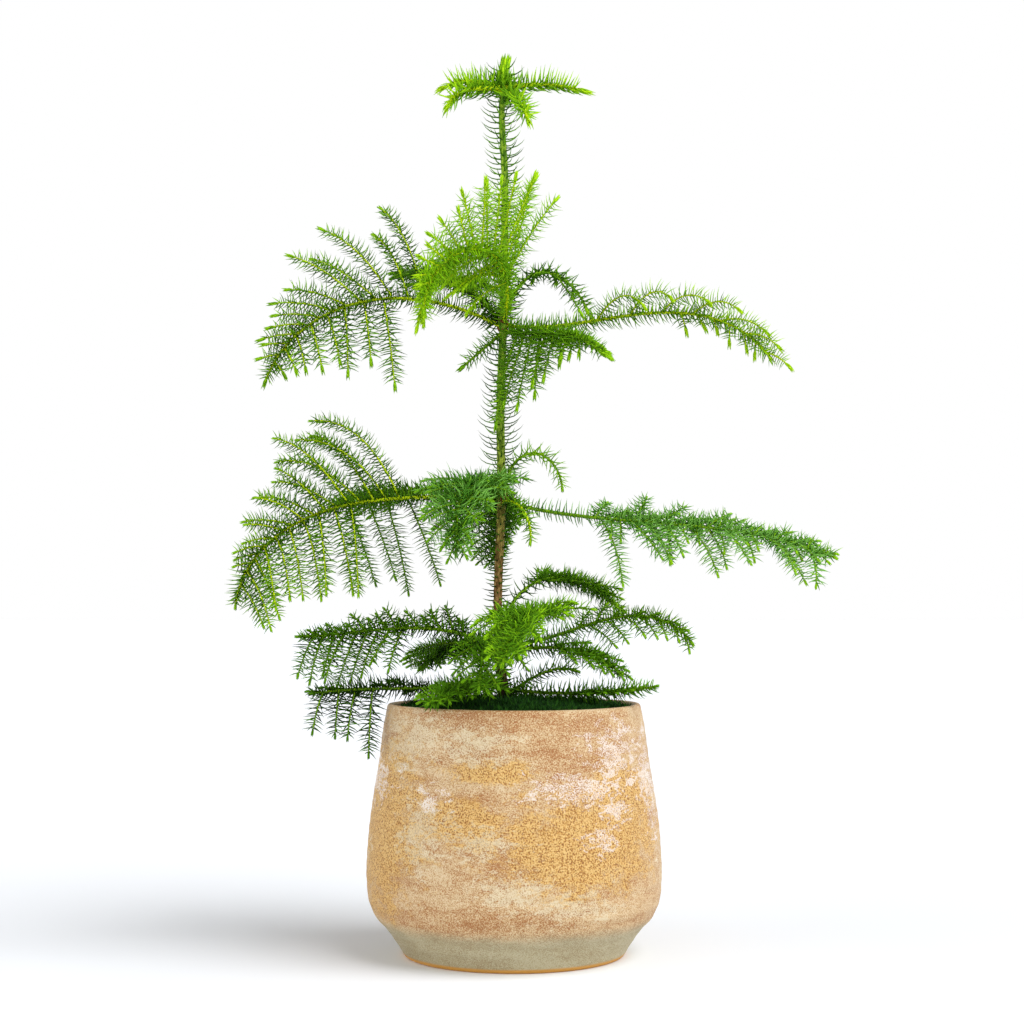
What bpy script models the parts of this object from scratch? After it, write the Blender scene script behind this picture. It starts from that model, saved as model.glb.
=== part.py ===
"""A potted Norfolk Island pine: a young Araucaria heterophylla in a round glazed pot.

The plant stands in a turned pot filled with soil under a layer of moss. One trunk runs from a flat cut on
the soil to the bud at the top. Five whorls of boughs leave it. A bough is a tapering limb that ends where
its foliage starts, and a mass of foliage is a stem with two rows of branchlets, each a toothed blade that
stands for a shoot with its needles. Tables are in millimetres and degrees, the model is in metres, +Z up,
with its origin at the middle of the pot's flat underside, and the camera side of the plant is -Y.
"""
import math
import random
from dataclasses import dataclass

import bmesh
import bpy
from mathutils import Matrix, Vector
from mathutils.bvhtree import BVHTree

MM = 0.001

# Fit
CLEARANCE = 0.3
SPACE_MARGIN = 0.35
TIDY_EDGE = 0.002

# Pot
TURN_STEPS = 24
POT_HEIGHT = 168.6
POT_FLOOR = 9.0
POT_FLOOR_RADIUS = 74.0
POT_LIP_RADIUS = 86.3
POT_WALL = 4.6
POT_OUTSIDE = (
    (POT_LIP_RADIUS, POT_HEIGHT - 1.6),
    (88.8, 153.0),
    (92.8, 124.0),
    (98.6, 83.0),
    (100.0, 57.0),
    (98.5, 37.5),
    (87.2, 19.5),
    (75.0, 1.5),
    (73.0, 0.0),
)

# Filling
SOIL_TOP = 154.0
SOIL_TOP_RADIUS = 83.0
SOIL_FOOT_RADIUS = 72.0
MOSS_EDGE_HEIGHT = 162.5
MOSS_CROWN_HEIGHT = 168.4
MOSS_EDGE_DROP = 1.8
MOSS_EDGE_ROUND = 2.2
MOSS_DOME = 3.0
MOSS_RINGS = 5
MOSS_HOLE_RADIUS = 6.2
MOSS_HOLE_DEPTH = 40.0
MOSS_HOLE_SIDES = 12

# Trunk: height, sideways place, depth, radius
TRUNK_FOOT = SOIL_TOP + CLEARANCE
TRUNK_ROUTE = (
    (TRUNK_FOOT, -6.0, 0.0, 5.4),
    (160.0, -6.3, 0.0, 4.3),
    (170.0, -6.9, 0.0, 3.7),
    (209.0, -10.3, 0.0, 3.2),
    (240.0, -11.2, 0.0, 2.9),
    (308.0, -8.8, 0.0, 2.9),
    (370.0, -9.4, 0.0, 2.8),
    (430.0, -7.6, 0.0, 2.7),
    (527.0, -6.4, 0.0, 2.4),
    (575.0, -8.6, 0.0, 2.1),
    (598.0, -7.6, 0.0, 1.9),
    (608.0, -6.4, 0.0, 1.3),
)
TRUNK_FLARE = (0.0, 2.5, 6.0, 12.0)
TRUNK_RINGS = 17
TRUNK_SIDES = 8
TRUNK_NEEDLE_LENGTH = 11.0
TRUNK_NEEDLE_GAP = 8.5
TRUNK_NEEDLE_PITCH = 24.0
TRUNK_NEEDLE_LAST = 0.97
TRUNK_NEEDLE_ROOT = 1.0
TRUNK_READINGS = 60
GOLDEN_ANGLE = 137.5
BUD_TOP = 618.0
BUD_NEEDLES = 6
BUD_SPREAD = (9.6, 24.0)
BUD_ROOT = 3.0

# Limbs
BOUGH_RADIUS = 1.35
BOUGH_SIDES = 5
BOUGH_STEP = 12.0
BOUGH_ROUTE_STEPS = 40
STEM_RADIUS = 1.15
STEM_TIP_RADIUS = 0.7
STEM_SIDES = 3
STEM_STEP = 15.0

# Branchlets
BRANCHLET_GAP = 15.5
BRANCHLET_GAP_CLOSES = 0.3
BRANCHLET_FIRST = 2.0
BRANCHLET_LAST = 0.95
BRANCHLET_STEPS = 8
BRANCHLET_LEAST = 11.0
LENGTH_MOST = 1.06
LENGTH_SPREAD = 0.18
SPLAY_CLOSES = 34.0
ANGLE_SPREAD = 7.0
SAG_LENGTH = 50.0
SAG_POWER = 1.3
BLADE_HALF_WIDTH = 7.5
BLADE_NOTCH = 1.1
BLADE_THICKNESS = 1.7
BLADE_TAPER = 0.45
BLADE_ROOT = 0.4
BLADE_NECK = 3.5
BLADE_READ = 0.08
TOOTH_PITCH = 18.0
TOOTH_MOST = 4
TOOTH_PLACE = 0.78
TOOTH_SET_BACK = 0.3
LOUVRE = 28.0
SHORTER = (1.0, 0.82, 0.66, 0.5)

# Needles that stand out of a short shoot
NEEDLE_LENGTH = 10.0
NEEDLE_HALF_WIDTH = 0.75
NEEDLE_GAP = 5.8
NEEDLE_PITCH = 38.0
NEEDLE_STRETCH = (0.12, 0.98)
NEEDLE_SPREAD = (0.85, 1.1)
NEEDLE_READ = 0.01


@dataclass(frozen=True)
class Row:
    """One row of branchlets along a bough, on its left or its right seen from the trunk.

    reach is the length of the row's first branchlet, splay its angle to the bough and rise how far the row
    stands above the bough's own level. sag is how much weight bends it, and fade how fast the branchlets
    shorten towards the bough's tip. pitch is how far apart they stand, loose how much they differ, each as
    a share of what is usual, and first the share of the bough where the row starts, if that is past bare.
    """

    reach: float
    splay: float
    rise: float
    sag: float
    fade: float = 0.6
    pitch: float = 1.0
    loose: float = 1.0
    first: float = 0.0


@dataclass(frozen=True)
class Bough:
    """One limb of a whorl: where it leaves the trunk, how it bends and what it carries.

    start is the height of its foot and heading its compass angle from +X. lift, mid and fall are its slope
    at the foot, half way and at the tip, sweep is how far it turns sideways, and bare is the share of its
    length before the first branchlet. A short shoot carries needles and no branchlets.
    """

    side: str
    start: float
    heading: float
    length: float
    lift: float
    mid: float
    fall: float
    sweep: float = 0.0
    bare: float = 0.30
    left: Row = Row(0.0, 0.0, 0.0, 0.0)
    right: Row = Row(0.0, 0.0, 0.0, 0.0)
    short: bool = False


WHORLS = (
    (
        Bough("left", 594.0, 170, 48, 19, 3, -50, short=True),
        Bough("front_left", 593.0, 214, 56, -10, -21, -86, short=True),
        Bough("right", 594.0, 6, 62, 12, -2, -21, short=True),
        Bough("front_right", 590.0, 300, 51, -17, -42, -70, short=True),
        Bough("back", 594.5, 88, 55, 15, 5, -40, short=True),
    ),
    (
        Bough("left", 428.0, 184, 192, 27, -12, -75, bare=0.24,
              left=Row(92, 102, -50, 1.2, 0.8, 1.3, 1.3, 0.42), right=Row(104, 78, 66, 0.45, 1.0, 1.0, 1.5)),
        Bough("front", 431.0, 284, 165, 44, 0, -100, sweep=-92, bare=0.18,
              left=Row(88, 80, 74, 0.2, 1.0, 0.7, 1.4), right=Row(52, 76, -24, 0.9, 0.3, 0.55, 2.0)),
        Bough("right", 428.0, 4, 199, -7, 5, -62, bare=0.24,
              left=Row(18, 80, -50, 1.2, 0.05, 1.2, 1.3, 0.60), right=Row(50, 66, 70, 1.7, 0.25, 2.1, 1.2)),
        Bough("front_right", 423.5, 322, 88, -10, -10, -46, bare=0.06,
              left=Row(36, 56, 10, 0.5, 0.4, 0.6, 1.5), right=Row(84, 88, -56, 0.9, 1.4, 0.55, 1.2)),
        Bough("front_left", 421.5, 217, 45, -39, -38, -41, short=True),
        Bough("back_right", 433.0, 58, 150, 68, 4, -50, bare=0.4,
              left=Row(20, 60, -10, 1.2, 0.5, 2.4), right=Row(48, 66, -60, 0.6, 0.8, 3.6)),
        Bough("back_left", 430.0, 126, 140, 42, 22, 0,
              left=Row(52, 76, 8, 0.8), right=Row(54, 76, 8, 0.8)),
    ),
    (
        Bough("left", 313.0, 183, 215, -8, -14, -87, bare=0.28,
              left=Row(84, 104, -50, 1.4, 0.3, 1.1, 1.2, 0.46), right=Row(118, 80, 66, 0.6, 1.4, 0.8, 1.3)),
        Bough("front_left", 312.0, 246, 128, 10, -18, -100, sweep=20, bare=0.14,
              left=Row(44, 76, 16, 0.7, 0.4, 0.55, 2.4), right=Row(44, 76, 4, 0.7, 0.4, 0.55, 2.4)),
        Bough("right", 306.0, 358, 231, -15, -5, -24, bare=0.26,
              left=Row(36, 70, 34, 0.5, 0.3, 0.6, 2.0), right=Row(56, 86, -40, 1.3, 0.12, 0.62, 4.2)),
        Bough("back_right", 316.0, 45, 85, 78, 1, -89, short=True),
        Bough("front_right", 306.0, 302, 54, 3, -39, -110, short=True),
        Bough("back", 309.0, 88, 185, 2, -12, -45, sweep=8,
              left=Row(62, 76, 4, 0.7), right=Row(32, 56, 4, 0.7)),
        Bough("back_left", 311.0, 141, 150, 0, 4, -22, sweep=8, bare=0.34,
              left=Row(52, 76, -8, 0.8), right=Row(86, 118, -66, 0.4, 0.1, 1.8, 1.0, 0.48)),
    ),
    (
        Bough("left", 206.0, 176, 141, 32, -3, 0, bare=0.12,
              left=Row(42, 94, -50, 1.0, 0.0, 0.8, 1.6, 0.45), right=Row(34, 76, 40, 0.5, 0.5, 0.7, 2.0)),
        Bough("front_left", 208.0, 262, 100, 14, -14, -70, bare=0.2,
              left=Row(42, 76, -20, 0.9, 0.5, 1.3, 1.5), right=Row(40, 76, -6, 0.9, 0.5, 1.3, 1.5)),
        Bough("right", 209.0, 6, 142, -3, 14, -62, bare=0.36,
              left=Row(24, 66, 40, 0.8, 0.4, 1.2, 1.5), right=Row(28, 76, -40, 1.2, 0.3, 1.2, 1.5)),
        Bough("back_right", 213.0, 40, 120, 88, 12, -28, bare=0.42,
              left=Row(42, 40, 16, 0.4, 0.3, 1.0, 1.6), right=Row(62, 46, -30, 0.3, 0.4, 0.8, 1.8)),
        Bough("front", 211.0, 302, 150, 14, 4, -72, sweep=-68,
              left=Row(50, 70, 14, 0.6, 0.5, 0.65, 2.0), right=Row(46, 70, 4, 0.8, 0.5, 0.65, 2.0)),
        Bough("front_right", 205.0, 340, 90, 4, -6, -48, bare=0.35,
              left=Row(34, 60, 16, 0.5, 0.4), right=Row(34, 60, -10, 0.6, 0.4)),
        Bough("back_left", 207.0, 122, 115, 6, -8, -35,
              left=Row(48, 76, 5, 0.6), right=Row(48, 76, 5, 0.6)),
    ),
    (
        Bough("left", 184.0, 186, 130, -12, 0, -9, sweep=14,
              left=Row(56, 98, -58, 0.8, 0.2, 1.2, 1.3, 0.55), right=Row(34, 76, 14, 0.7, 0.4, 1.2, 1.4)),
        Bough("back_right", 175.0, 35, 66, 27, 17, -24, short=True),
        Bough("right", 178.0, 342, 109, -5, 2, 11, sweep=-10, bare=0.40,
              left=Row(20, 60, 14, 0.4, 0.4), right=Row(18, 60, 4, 0.4, 0.4)),
        Bough("front_left", 181.0, 240, 95, 5, -5, -20,
              left=Row(36, 76, 6, 0.6), right=Row(36, 76, 6, 0.6)),
    ),
)


def clear_scene():
    """Remove whatever the scene opened with."""
    for item in list(bpy.data.objects):
        bpy.data.objects.remove(item, do_unlink=True)


def new_collection(name):
    """Make a collection in the scene."""
    made = bpy.data.collections.new(name)
    bpy.context.scene.collection.children.link(made)
    return made


def new_material(name, colour, roughness):
    """Make a plain finish."""
    made = bpy.data.materials.new(name)
    made.use_nodes = True
    shader = made.node_tree.nodes["Principled BSDF"]
    shader.inputs["Base Color"].default_value = (*colour, 1.0)
    shader.inputs["Roughness"].default_value = roughness
    shader.inputs["Metallic"].default_value = 0.0
    made.diffuse_color = (*colour, 1.0)
    return made


def add_object(name, mesh, material, where):
    """Put a mesh in a collection as a named object with one material."""
    made = bpy.data.objects.new(name, mesh)
    mesh.materials.append(material)
    where.objects.link(made)
    return made


def mesh_from(name, shape):
    """Turn a bmesh into a mesh datablock with its faces pointing out."""
    bmesh.ops.recalc_face_normals(shape, faces=shape.faces)
    mesh = bpy.data.meshes.new(name)
    shape.to_mesh(mesh)
    return mesh


def shade(mesh):
    """Shade a round piece smooth, with its real edges kept sharp."""
    mesh.shade_smooth()
    mesh.set_sharp_from_angle(angle=math.radians(40))


def turned(name, profile, material, where):
    """Turn a profile of (radius, height) pairs in millimetres into a solid about Z."""
    mesh = bpy.data.meshes.new(name)
    points = [(radius * MM, 0.0, height * MM) for radius, height in profile]
    edges = [(index, index + 1) for index in range(len(points) - 1)]
    mesh.from_pydata(points, edges, [])
    made = add_object(name, mesh, material, where)
    screw = made.modifiers.new("turn", "SCREW")
    screw.steps = TURN_STEPS
    screw.render_steps = TURN_STEPS
    screw.use_merge_vertices = True
    screw.merge_threshold = 0.00001
    screw.use_smooth_shade = True
    return made


def inside_of(profile, wall):
    """The pot's inner wall, bottom to top: its outer one moved in by the wall's thickness."""
    inner = [(radius - wall, height) for radius, height in profile if height > 2.0 * POT_FLOOR]
    return sorted(inner, key=lambda point: point[1])


def build_pot(material, where):
    """The pot: a turned shell with a rounded lip, a bellied wall and a flat underside."""
    wall = inside_of(POT_OUTSIDE, POT_WALL)
    lip = [(POT_LIP_RADIUS - POT_WALL * share, POT_HEIGHT) for share in (0.7, 0.3)]
    floor = [(0.0, POT_FLOOR), (POT_FLOOR_RADIUS, POT_FLOOR)]
    profile = floor + wall + lip + list(POT_OUTSIDE) + [(0.0, 0.0)]
    return turned("pot", profile, material, where)


def build_soil(material, where):
    """The soil that fills the pot, with its wall clear of the pot's."""
    wall = [(radius - CLEARANCE, height) for radius, height in inside_of(POT_OUTSIDE, POT_WALL)]
    top = [(0.0, SOIL_TOP), (SOIL_TOP_RADIUS, SOIL_TOP)]
    sides = [point for point in reversed(wall) if point[1] < SOIL_TOP]
    bottom = [(SOIL_FOOT_RADIUS, POT_FLOOR + CLEARANCE), (0.0, POT_FLOOR + CLEARANCE)]
    return turned("soil", top + sides[1:] + bottom, material, where)


def build_moss(material, where, cutters):
    """A low dome of moss over the soil, rounded down at the wall, with a hole for the trunk."""
    edge = POT_LIP_RADIUS - POT_WALL - 2.0 * CLEARANCE
    base = SOIL_TOP + CLEARANCE
    brow = edge - MOSS_EDGE_ROUND
    dome = MOSS_CROWN_HEIGHT - MOSS_EDGE_HEIGHT
    shares = [index / MOSS_RINGS for index in range(MOSS_RINGS + 1)]
    top = [(brow * share, MOSS_EDGE_HEIGHT + dome * (1.0 - share ** MOSS_DOME)) for share in shares]
    sides = [(edge, MOSS_EDGE_HEIGHT - MOSS_EDGE_DROP), (edge, base), (0.0, base)]
    moss = turned("moss", top + sides, material, where)
    shape = bmesh.new()
    bmesh.ops.create_cone(shape, cap_ends=True, segments=MOSS_HOLE_SIDES, radius1=MOSS_HOLE_RADIUS * MM,
                          radius2=MOSS_HOLE_RADIUS * MM, depth=MOSS_HOLE_DEPTH * MM)
    hole = add_object("moss_hole", mesh_from("moss_hole", shape), material, cutters)
    shape.free()
    hole.location = (TRUNK_ROUTE[0][1] * MM, 0.0, MOSS_EDGE_HEIGHT * MM)
    hole.hide_render = True
    hole.display_type = "WIRE"
    cut = moss.modifiers.new("trunk hole", "BOOLEAN")
    cut.operation = "DIFFERENCE"
    cut.object = hole
    return moss


def smooth_between(table, height):
    """Read the trunk's table at a height by smooth curves through its rows."""
    height = min(max(height, table[0][0]), table[-1][0])
    last = len(table) - 2
    index = max(0, min(last, sum(1 for row in table if row[0] <= height) - 1))
    before, low, high, after = (table[max(0, min(last + 1, index + step))] for step in (-1, 0, 1, 2))
    span = high[0] - low[0]
    share = (height - low[0]) / span
    values = []
    for column in (1, 2, 3):
        slope_low = (high[column] - before[column]) / (high[0] - before[0]) * span
        slope_high = (after[column] - low[column]) / (after[0] - low[0]) * span
        cube = share ** 3
        square = share ** 2
        value = (2 * cube - 3 * square + 1) * low[column] + (cube - 2 * square + share) * slope_low
        value += (3 * square - 2 * cube) * high[column] + (cube - square) * slope_high
        values.append(value)
    return values


def trunk_at(height):
    """The trunk's middle, in millimetres, and its radius at a height."""
    sideways, depth, radius = smooth_between(TRUNK_ROUTE, height)
    return Vector((sideways, depth, height)), radius


def tube(route, radii, sides):
    """A tapering tube along a route of points, as a bmesh: rings of points skinned by quads and capped."""
    shape = bmesh.new()
    rings = []
    previous = None
    for index, point in enumerate(route):
        ahead = route[min(index + 1, len(route) - 1)]
        behind = route[max(index - 1, 0)]
        along = (ahead - behind).normalized()
        across = previous if previous is not None else along.orthogonal()
        across = (across - along * across.dot(along)).normalized()
        previous = across
        up = along.cross(across)
        ring = []
        for side in range(sides):
            turn = 2.0 * math.pi * side / sides
            offset = (across * math.cos(turn) + up * math.sin(turn)) * radii[index]
            ring.append(shape.verts.new((point + offset) * MM))
        rings.append(ring)
    for first, second in zip(rings, rings[1:]):
        for side in range(sides):
            following = (side + 1) % sides
            shape.faces.new((first[side], first[following], second[following], second[side]))
    shape.faces.new(rings[0][::-1])
    shape.faces.new(rings[-1])
    return shape


def slope(bough, share):
    """The bough's angle above the level at a share of its length: a curve through its three angles."""
    first = 4 * bough.mid - 3 * bough.lift - bough.fall
    second = 2 * bough.lift + 2 * bough.fall - 4 * bough.mid
    return bough.lift + first * share + second * share * share


def direction(bough, share):
    """The way a bough points at a share of its length."""
    up = math.radians(slope(bough, share))
    turn = math.radians(bough.heading + bough.sweep * share)
    return Vector((math.cos(turn) * math.cos(up), math.sin(turn) * math.cos(up), math.sin(up)))


def bough_route(bough):
    """Points along a bough's middle, from the trunk's bark to its tip."""
    middle, radius = trunk_at(bough.start)
    out = Vector((math.cos(math.radians(bough.heading)), math.sin(math.radians(bough.heading)), 0.0))
    lean = abs(math.sin(math.radians(bough.lift)))
    foot_radius = STEM_RADIUS if bough.short else BOUGH_RADIUS
    point = middle + out * (radius + CLEARANCE + foot_radius * lean)
    route = [point.copy()]
    for index in range(BOUGH_ROUTE_STEPS):
        share = (index + 0.5) / BOUGH_ROUTE_STEPS
        point = point + direction(bough, share) * (bough.length / BOUGH_ROUTE_STEPS)
        route.append(point.copy())
    return route


def route_length(route):
    """The length of a route of points."""
    return sum((after - before).length for before, after in zip(route, route[1:]))


def point_on(route, share):
    """The point at a share of a route's length."""
    place = min(max(share, 0.0), 1.0) * (len(route) - 1)
    index = min(int(place), len(route) - 2)
    return route[index].lerp(route[index + 1], place - index)


def limb(route, first, last, radius, tip_radius, step, sides):
    """The tube along one stretch of a bough's route."""
    length = route_length(route) * (last - first)
    count = max(2, round(length / step))
    shares = [first + (last - first) * index / count for index in range(count + 1)]
    radii = [radius + (tip_radius - radius) * index / count for index in range(count + 1)]
    return tube([point_on(route, share) for share in shares], radii, sides)


def branchlet_route(bough, route, share, side, row, seed):
    """Points along one branchlet: it leaves the bough at its row's angles and bends with its weight."""
    draw = random.Random(seed)
    along = direction(bough, share)
    turn = math.radians(bough.heading + bough.sweep * share)
    across = Vector((math.sin(turn), -math.cos(turn), 0.0))
    up = across.cross(along)
    spread = ANGLE_SPREAD * row.loose
    splay = math.radians(row.splay - SPLAY_CLOSES * share + draw.uniform(-spread, spread))
    rise = math.radians(row.rise + draw.uniform(-spread, spread))
    sideways = across * side * math.cos(rise) + up * math.sin(rise)
    heading = along * math.cos(splay) + sideways * math.sin(splay)
    fade = ((1.0 - share) / (1.0 - bough.bare)) ** row.fade
    length = row.reach * fade * (LENGTH_MOST - LENGTH_SPREAD * row.loose * draw.random())
    return branchlet_points(point_on(route, share), heading, length, row.sag), along


def branchlet_points(root, heading, length, sag):
    """Walk along a branchlet, bending down as its weight tells."""
    weight = sag * math.sqrt(length / SAG_LENGTH)
    point = root.copy()
    points = [point.copy()]
    for index in range(BRANCHLET_STEPS):
        share = (index + 0.5) / BRANCHLET_STEPS
        step = heading + Vector((0.0, 0.0, -weight * share ** SAG_POWER))
        point = point + step.normalized() * (length / BRANCHLET_STEPS)
        points.append(point.copy())
    return points


def blade(points, along, louvre, margin=0.0):
    """A toothed blade along a branchlet: a flat back, a ridge in front and teeth for its needles.

    Its root is a point sunk past the middle of its stem. margin makes it larger all round, for testing
    whether it has room.
    """
    length = route_length(points)
    teeth = max(2, min(TOOTH_MOST, round(length / TOOTH_PITCH)))
    neck = BLADE_NECK / length
    shape = bmesh.new()
    start = (points[1] - points[0]).normalized()
    root = shape.verts.new((points[0] - start * BLADE_ROOT) * MM)
    sections = []
    tips = []
    for index in range(teeth):
        share = neck + (1.0 - neck) * index / teeth
        ahead = (point_on(points, share + BLADE_READ) - point_on(points, share - BLADE_READ)).normalized()
        width = (along - ahead * along.dot(ahead)).normalized()
        width = Matrix.Rotation(louvre, 3, ahead) @ width
        front = ahead.cross(width)
        point = point_on(points, share)
        thick = BLADE_THICKNESS * (1.0 - BLADE_TAPER * share) + 2.0 * margin
        back = point - front * thick * 0.5
        notch = BLADE_NOTCH + margin
        sections.append(tuple(shape.verts.new(place * MM) for place in (
            point + front * thick * 0.5, back + width * notch, back - width * notch)))
        tooth_share = neck + (1.0 - neck) * (index + TOOTH_PLACE) / teeth
        half = BLADE_HALF_WIDTH * (1.0 - BLADE_TAPER * tooth_share ** 2) + margin
        tooth_point = point_on(points, tooth_share) - front * thick * TOOTH_SET_BACK
        tips.append(tuple(shape.verts.new((tooth_point + width * sign * half) * MM) for sign in (1.0, -1.0)))
    apex = shape.verts.new(point_on(points, 1.0) * MM)
    sections.append((apex, apex, apex))
    for first, second in ((0, 1), (1, 2), (2, 0)):
        shape.faces.new((root, sections[0][first], sections[0][second]))
    for index in range(teeth):
        last = index == teeth - 1
        ridge, *notches = sections[index]
        next_ridge, *next_notches = sections[index + 1]
        for notch, next_notch, tooth in zip(notches, next_notches, tips[index]):
            shape.faces.new((ridge, notch, tooth))
            shape.faces.new((ridge, tooth, next_ridge))
            shape.faces.new((notch, next_notch, tooth))
            if not last:
                shape.faces.new((next_ridge, tooth, next_notch))
        back_face = notches + [apex] if last else notches + next_notches[::-1]
        shape.faces.new(back_face)
    bmesh.ops.recalc_face_normals(shape, faces=shape.faces)
    return shape


def needle(root, heading, length, half_width, margin=0.0):
    """One stiff needle: a slim three-sided spike whose wide end is sunk in what carries it."""
    shape = bmesh.new()
    across = heading.orthogonal().normalized()
    up = heading.cross(across)
    foot = []
    for side in range(3):
        turn = 2.0 * math.pi * side / 3.0
        offset = (across * math.cos(turn) + up * math.sin(turn)) * (half_width + margin)
        foot.append(shape.verts.new((root + offset) * MM))
    tip = shape.verts.new((root + heading * (length + margin)) * MM)
    shape.faces.new(foot[::-1])
    for side in range(3):
        shape.faces.new((foot[side], foot[(side + 1) % 3], tip))
    bmesh.ops.recalc_face_normals(shape, faces=shape.faces)
    return shape


class Space:
    """The room already taken, so that nothing new grows into it."""

    def __init__(self):
        self.taken = []

    @staticmethod
    def extent(shape):
        """Lowest and highest corner of a shape."""
        places = [vert.co for vert in shape.verts]
        low = Vector(min(place[axis] for place in places) for axis in range(3))
        high = Vector(max(place[axis] for place in places) for axis in range(3))
        return low, high

    def take(self, shape, owner):
        """Note a shape's room under its owner's name."""
        self.taken.append((owner, BVHTree.FromBMesh(shape), *self.extent(shape)))

    def free_for(self, shape, but=""):
        """Whether a shape touches nothing that is taken, apart from its own stem."""
        tree = BVHTree.FromBMesh(shape)
        low, high = self.extent(shape)
        for owner, other, other_low, other_high in self.taken:
            if owner == but:
                continue
            if any(low[axis] > other_high[axis] or high[axis] < other_low[axis] for axis in range(3)):
                continue
            if tree.overlap(other):
                return False
        return True


def evaluated_shape(made):
    """A bmesh of an object with its modifiers applied."""
    view = made.evaluated_get(bpy.context.evaluated_depsgraph_get())
    shape = bmesh.new()
    shape.from_mesh(view.to_mesh())
    shape.transform(made.matrix_world)
    view.to_mesh_clear()
    return shape


def largest_shell(shape):
    """Keep the outer skin of a fused piece: loose scraps go, and sealed hollows are filled."""
    left = set(shape.faces)
    shells = []
    while left:
        seed = left.pop()
        group = [seed]
        waiting = [seed]
        while waiting:
            face = waiting.pop()
            for edge in face.edges:
                for other in edge.link_faces:
                    if other in left:
                        left.remove(other)
                        group.append(other)
                        waiting.append(other)
        shells.append(group)
    shells.sort(key=len, reverse=True)
    spare = [face for group in shells[1:] for face in group]
    if spare:
        bmesh.ops.delete(shape, geom=spare, context="FACES")
        loose = [vert for vert in shape.verts if not vert.link_faces]
        bmesh.ops.delete(shape, geom=loose, context="VERTS")


def is_closed(shape):
    """Whether every edge has exactly two faces."""
    return bool(shape.faces) and all(len(edge.link_faces) == 2 for edge in shape.edges)


def union_of(made, group, solver, tidy):
    """The union of an object with a collection, as a bmesh of its outer skin."""
    union = made.modifiers.new("fuse", "BOOLEAN")
    union.operation = "UNION"
    union.operand_type = "COLLECTION"
    union.collection = group
    union.solver = solver
    bpy.context.view_layer.update()
    whole = evaluated_shape(made)
    made.modifiers.remove(union)
    if tidy:
        bmesh.ops.dissolve_degenerate(whole, dist=TIDY_EDGE * MM, edges=whole.edges)
    largest_shell(whole)
    return whole


def fuse(made, pieces):
    """Fuse shapes onto an object by one union on a collection, then drop that collection.

    Where the result has an open edge, the next solver is tried, and then the union with one piece fewer.
    """
    group = new_collection(made.name + "_pieces")
    for index, shape in enumerate(pieces):
        part = bpy.data.objects.new(f"{made.name}_piece_{index}", mesh_from("piece", shape))
        group.objects.link(part)
        shape.free()
    whole = None
    while group.objects:
        for solver, tidy in (("EXACT", True), ("EXACT", False), ("MANIFOLD", True)):
            whole = union_of(made, group, solver, tidy)
            if is_closed(whole):
                break
            whole.free()
            whole = None
        if whole:
            break
        bpy.data.objects.remove(group.objects[-1], do_unlink=True)
    bmesh.ops.triangulate(whole, faces=whole.faces)
    whole.to_mesh(made.data)
    whole.free()
    for part in list(group.objects):
        bpy.data.objects.remove(part, do_unlink=True)
    bpy.data.collections.remove(group)


def limb_object(name, shape, material, where):
    """Put a tube in the model."""
    made = add_object(name, mesh_from(name, shape), material, where)
    shade(made.data)
    return made


def needles_round(name, route, stretch, length, gap, foot_radius, pitch, space):
    """Needles in a spiral round a stretch of a route, each where it has room."""
    first, last = stretch
    count = int(route_length(route) * (last - first) / gap)
    grown = []
    for index in range(count):
        draw = random.Random(f"{name} {index}")
        share = first + (last - first) * (index + 0.5) / count
        ahead = (point_on(route, share + NEEDLE_READ) - point_on(route, share - NEEDLE_READ)).normalized()
        across = ahead.orthogonal().normalized()
        turn = math.radians(GOLDEN_ANGLE * index)
        out = across * math.cos(turn) + ahead.cross(across) * math.sin(turn)
        heading = (out * math.cos(pitch) + ahead * math.sin(pitch)).normalized()
        reach = length * draw.uniform(*NEEDLE_SPREAD)
        root = point_on(route, share) + out * foot_radius
        trial = needle(root, heading, reach, NEEDLE_HALF_WIDTH, SPACE_MARGIN)
        if space.free_for(trial, name):
            grown.append(needle(root, heading, reach, NEEDLE_HALF_WIDTH))
            space.take(trial, name + " needles")
        trial.free()
    return grown


def trunk_tube():
    """The trunk as a tube from its flat foot to the base of the bud."""
    flare = [TRUNK_FOOT + rise for rise in TRUNK_FLARE]
    span = TRUNK_ROUTE[-1][0] - flare[-1]
    above = [flare[-1] + span * (index + 1) / TRUNK_RINGS for index in range(TRUNK_RINGS)]
    stations = [trunk_at(height) for height in flare + above]
    return tube([point for point, _ in stations], [radius for _, radius in stations], TRUNK_SIDES)


def grow_trunk_needles(space):
    """Needles up the trunk, longer above, and the tuft of the bud at its top."""
    first = TRUNK_FOOT + TRUNK_FLARE[-1]
    last = TRUNK_ROUTE[-1][0]
    step = (last - first) / TRUNK_READINGS
    route = [trunk_at(first + step * index)[0] for index in range(TRUNK_READINGS + 1)]
    grown = needles_round("trunk", route, (0.0, TRUNK_NEEDLE_LAST), TRUNK_NEEDLE_LENGTH, TRUNK_NEEDLE_GAP,
                          TRUNK_NEEDLE_ROOT, math.radians(TRUNK_NEEDLE_PITCH), space)
    top, _ = trunk_at(last)
    for index in range(BUD_NEEDLES):
        turn = 2.0 * math.pi * index / BUD_NEEDLES
        spread = math.radians(BUD_SPREAD[index % 2])
        level = math.sin(spread)
        heading = Vector((math.cos(turn) * level, math.sin(turn) * level, math.cos(spread)))
        grown.append(needle(top - heading * BUD_ROOT, heading, BUD_TOP - last + BUD_ROOT, NEEDLE_HALF_WIDTH))
    return grown


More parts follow.
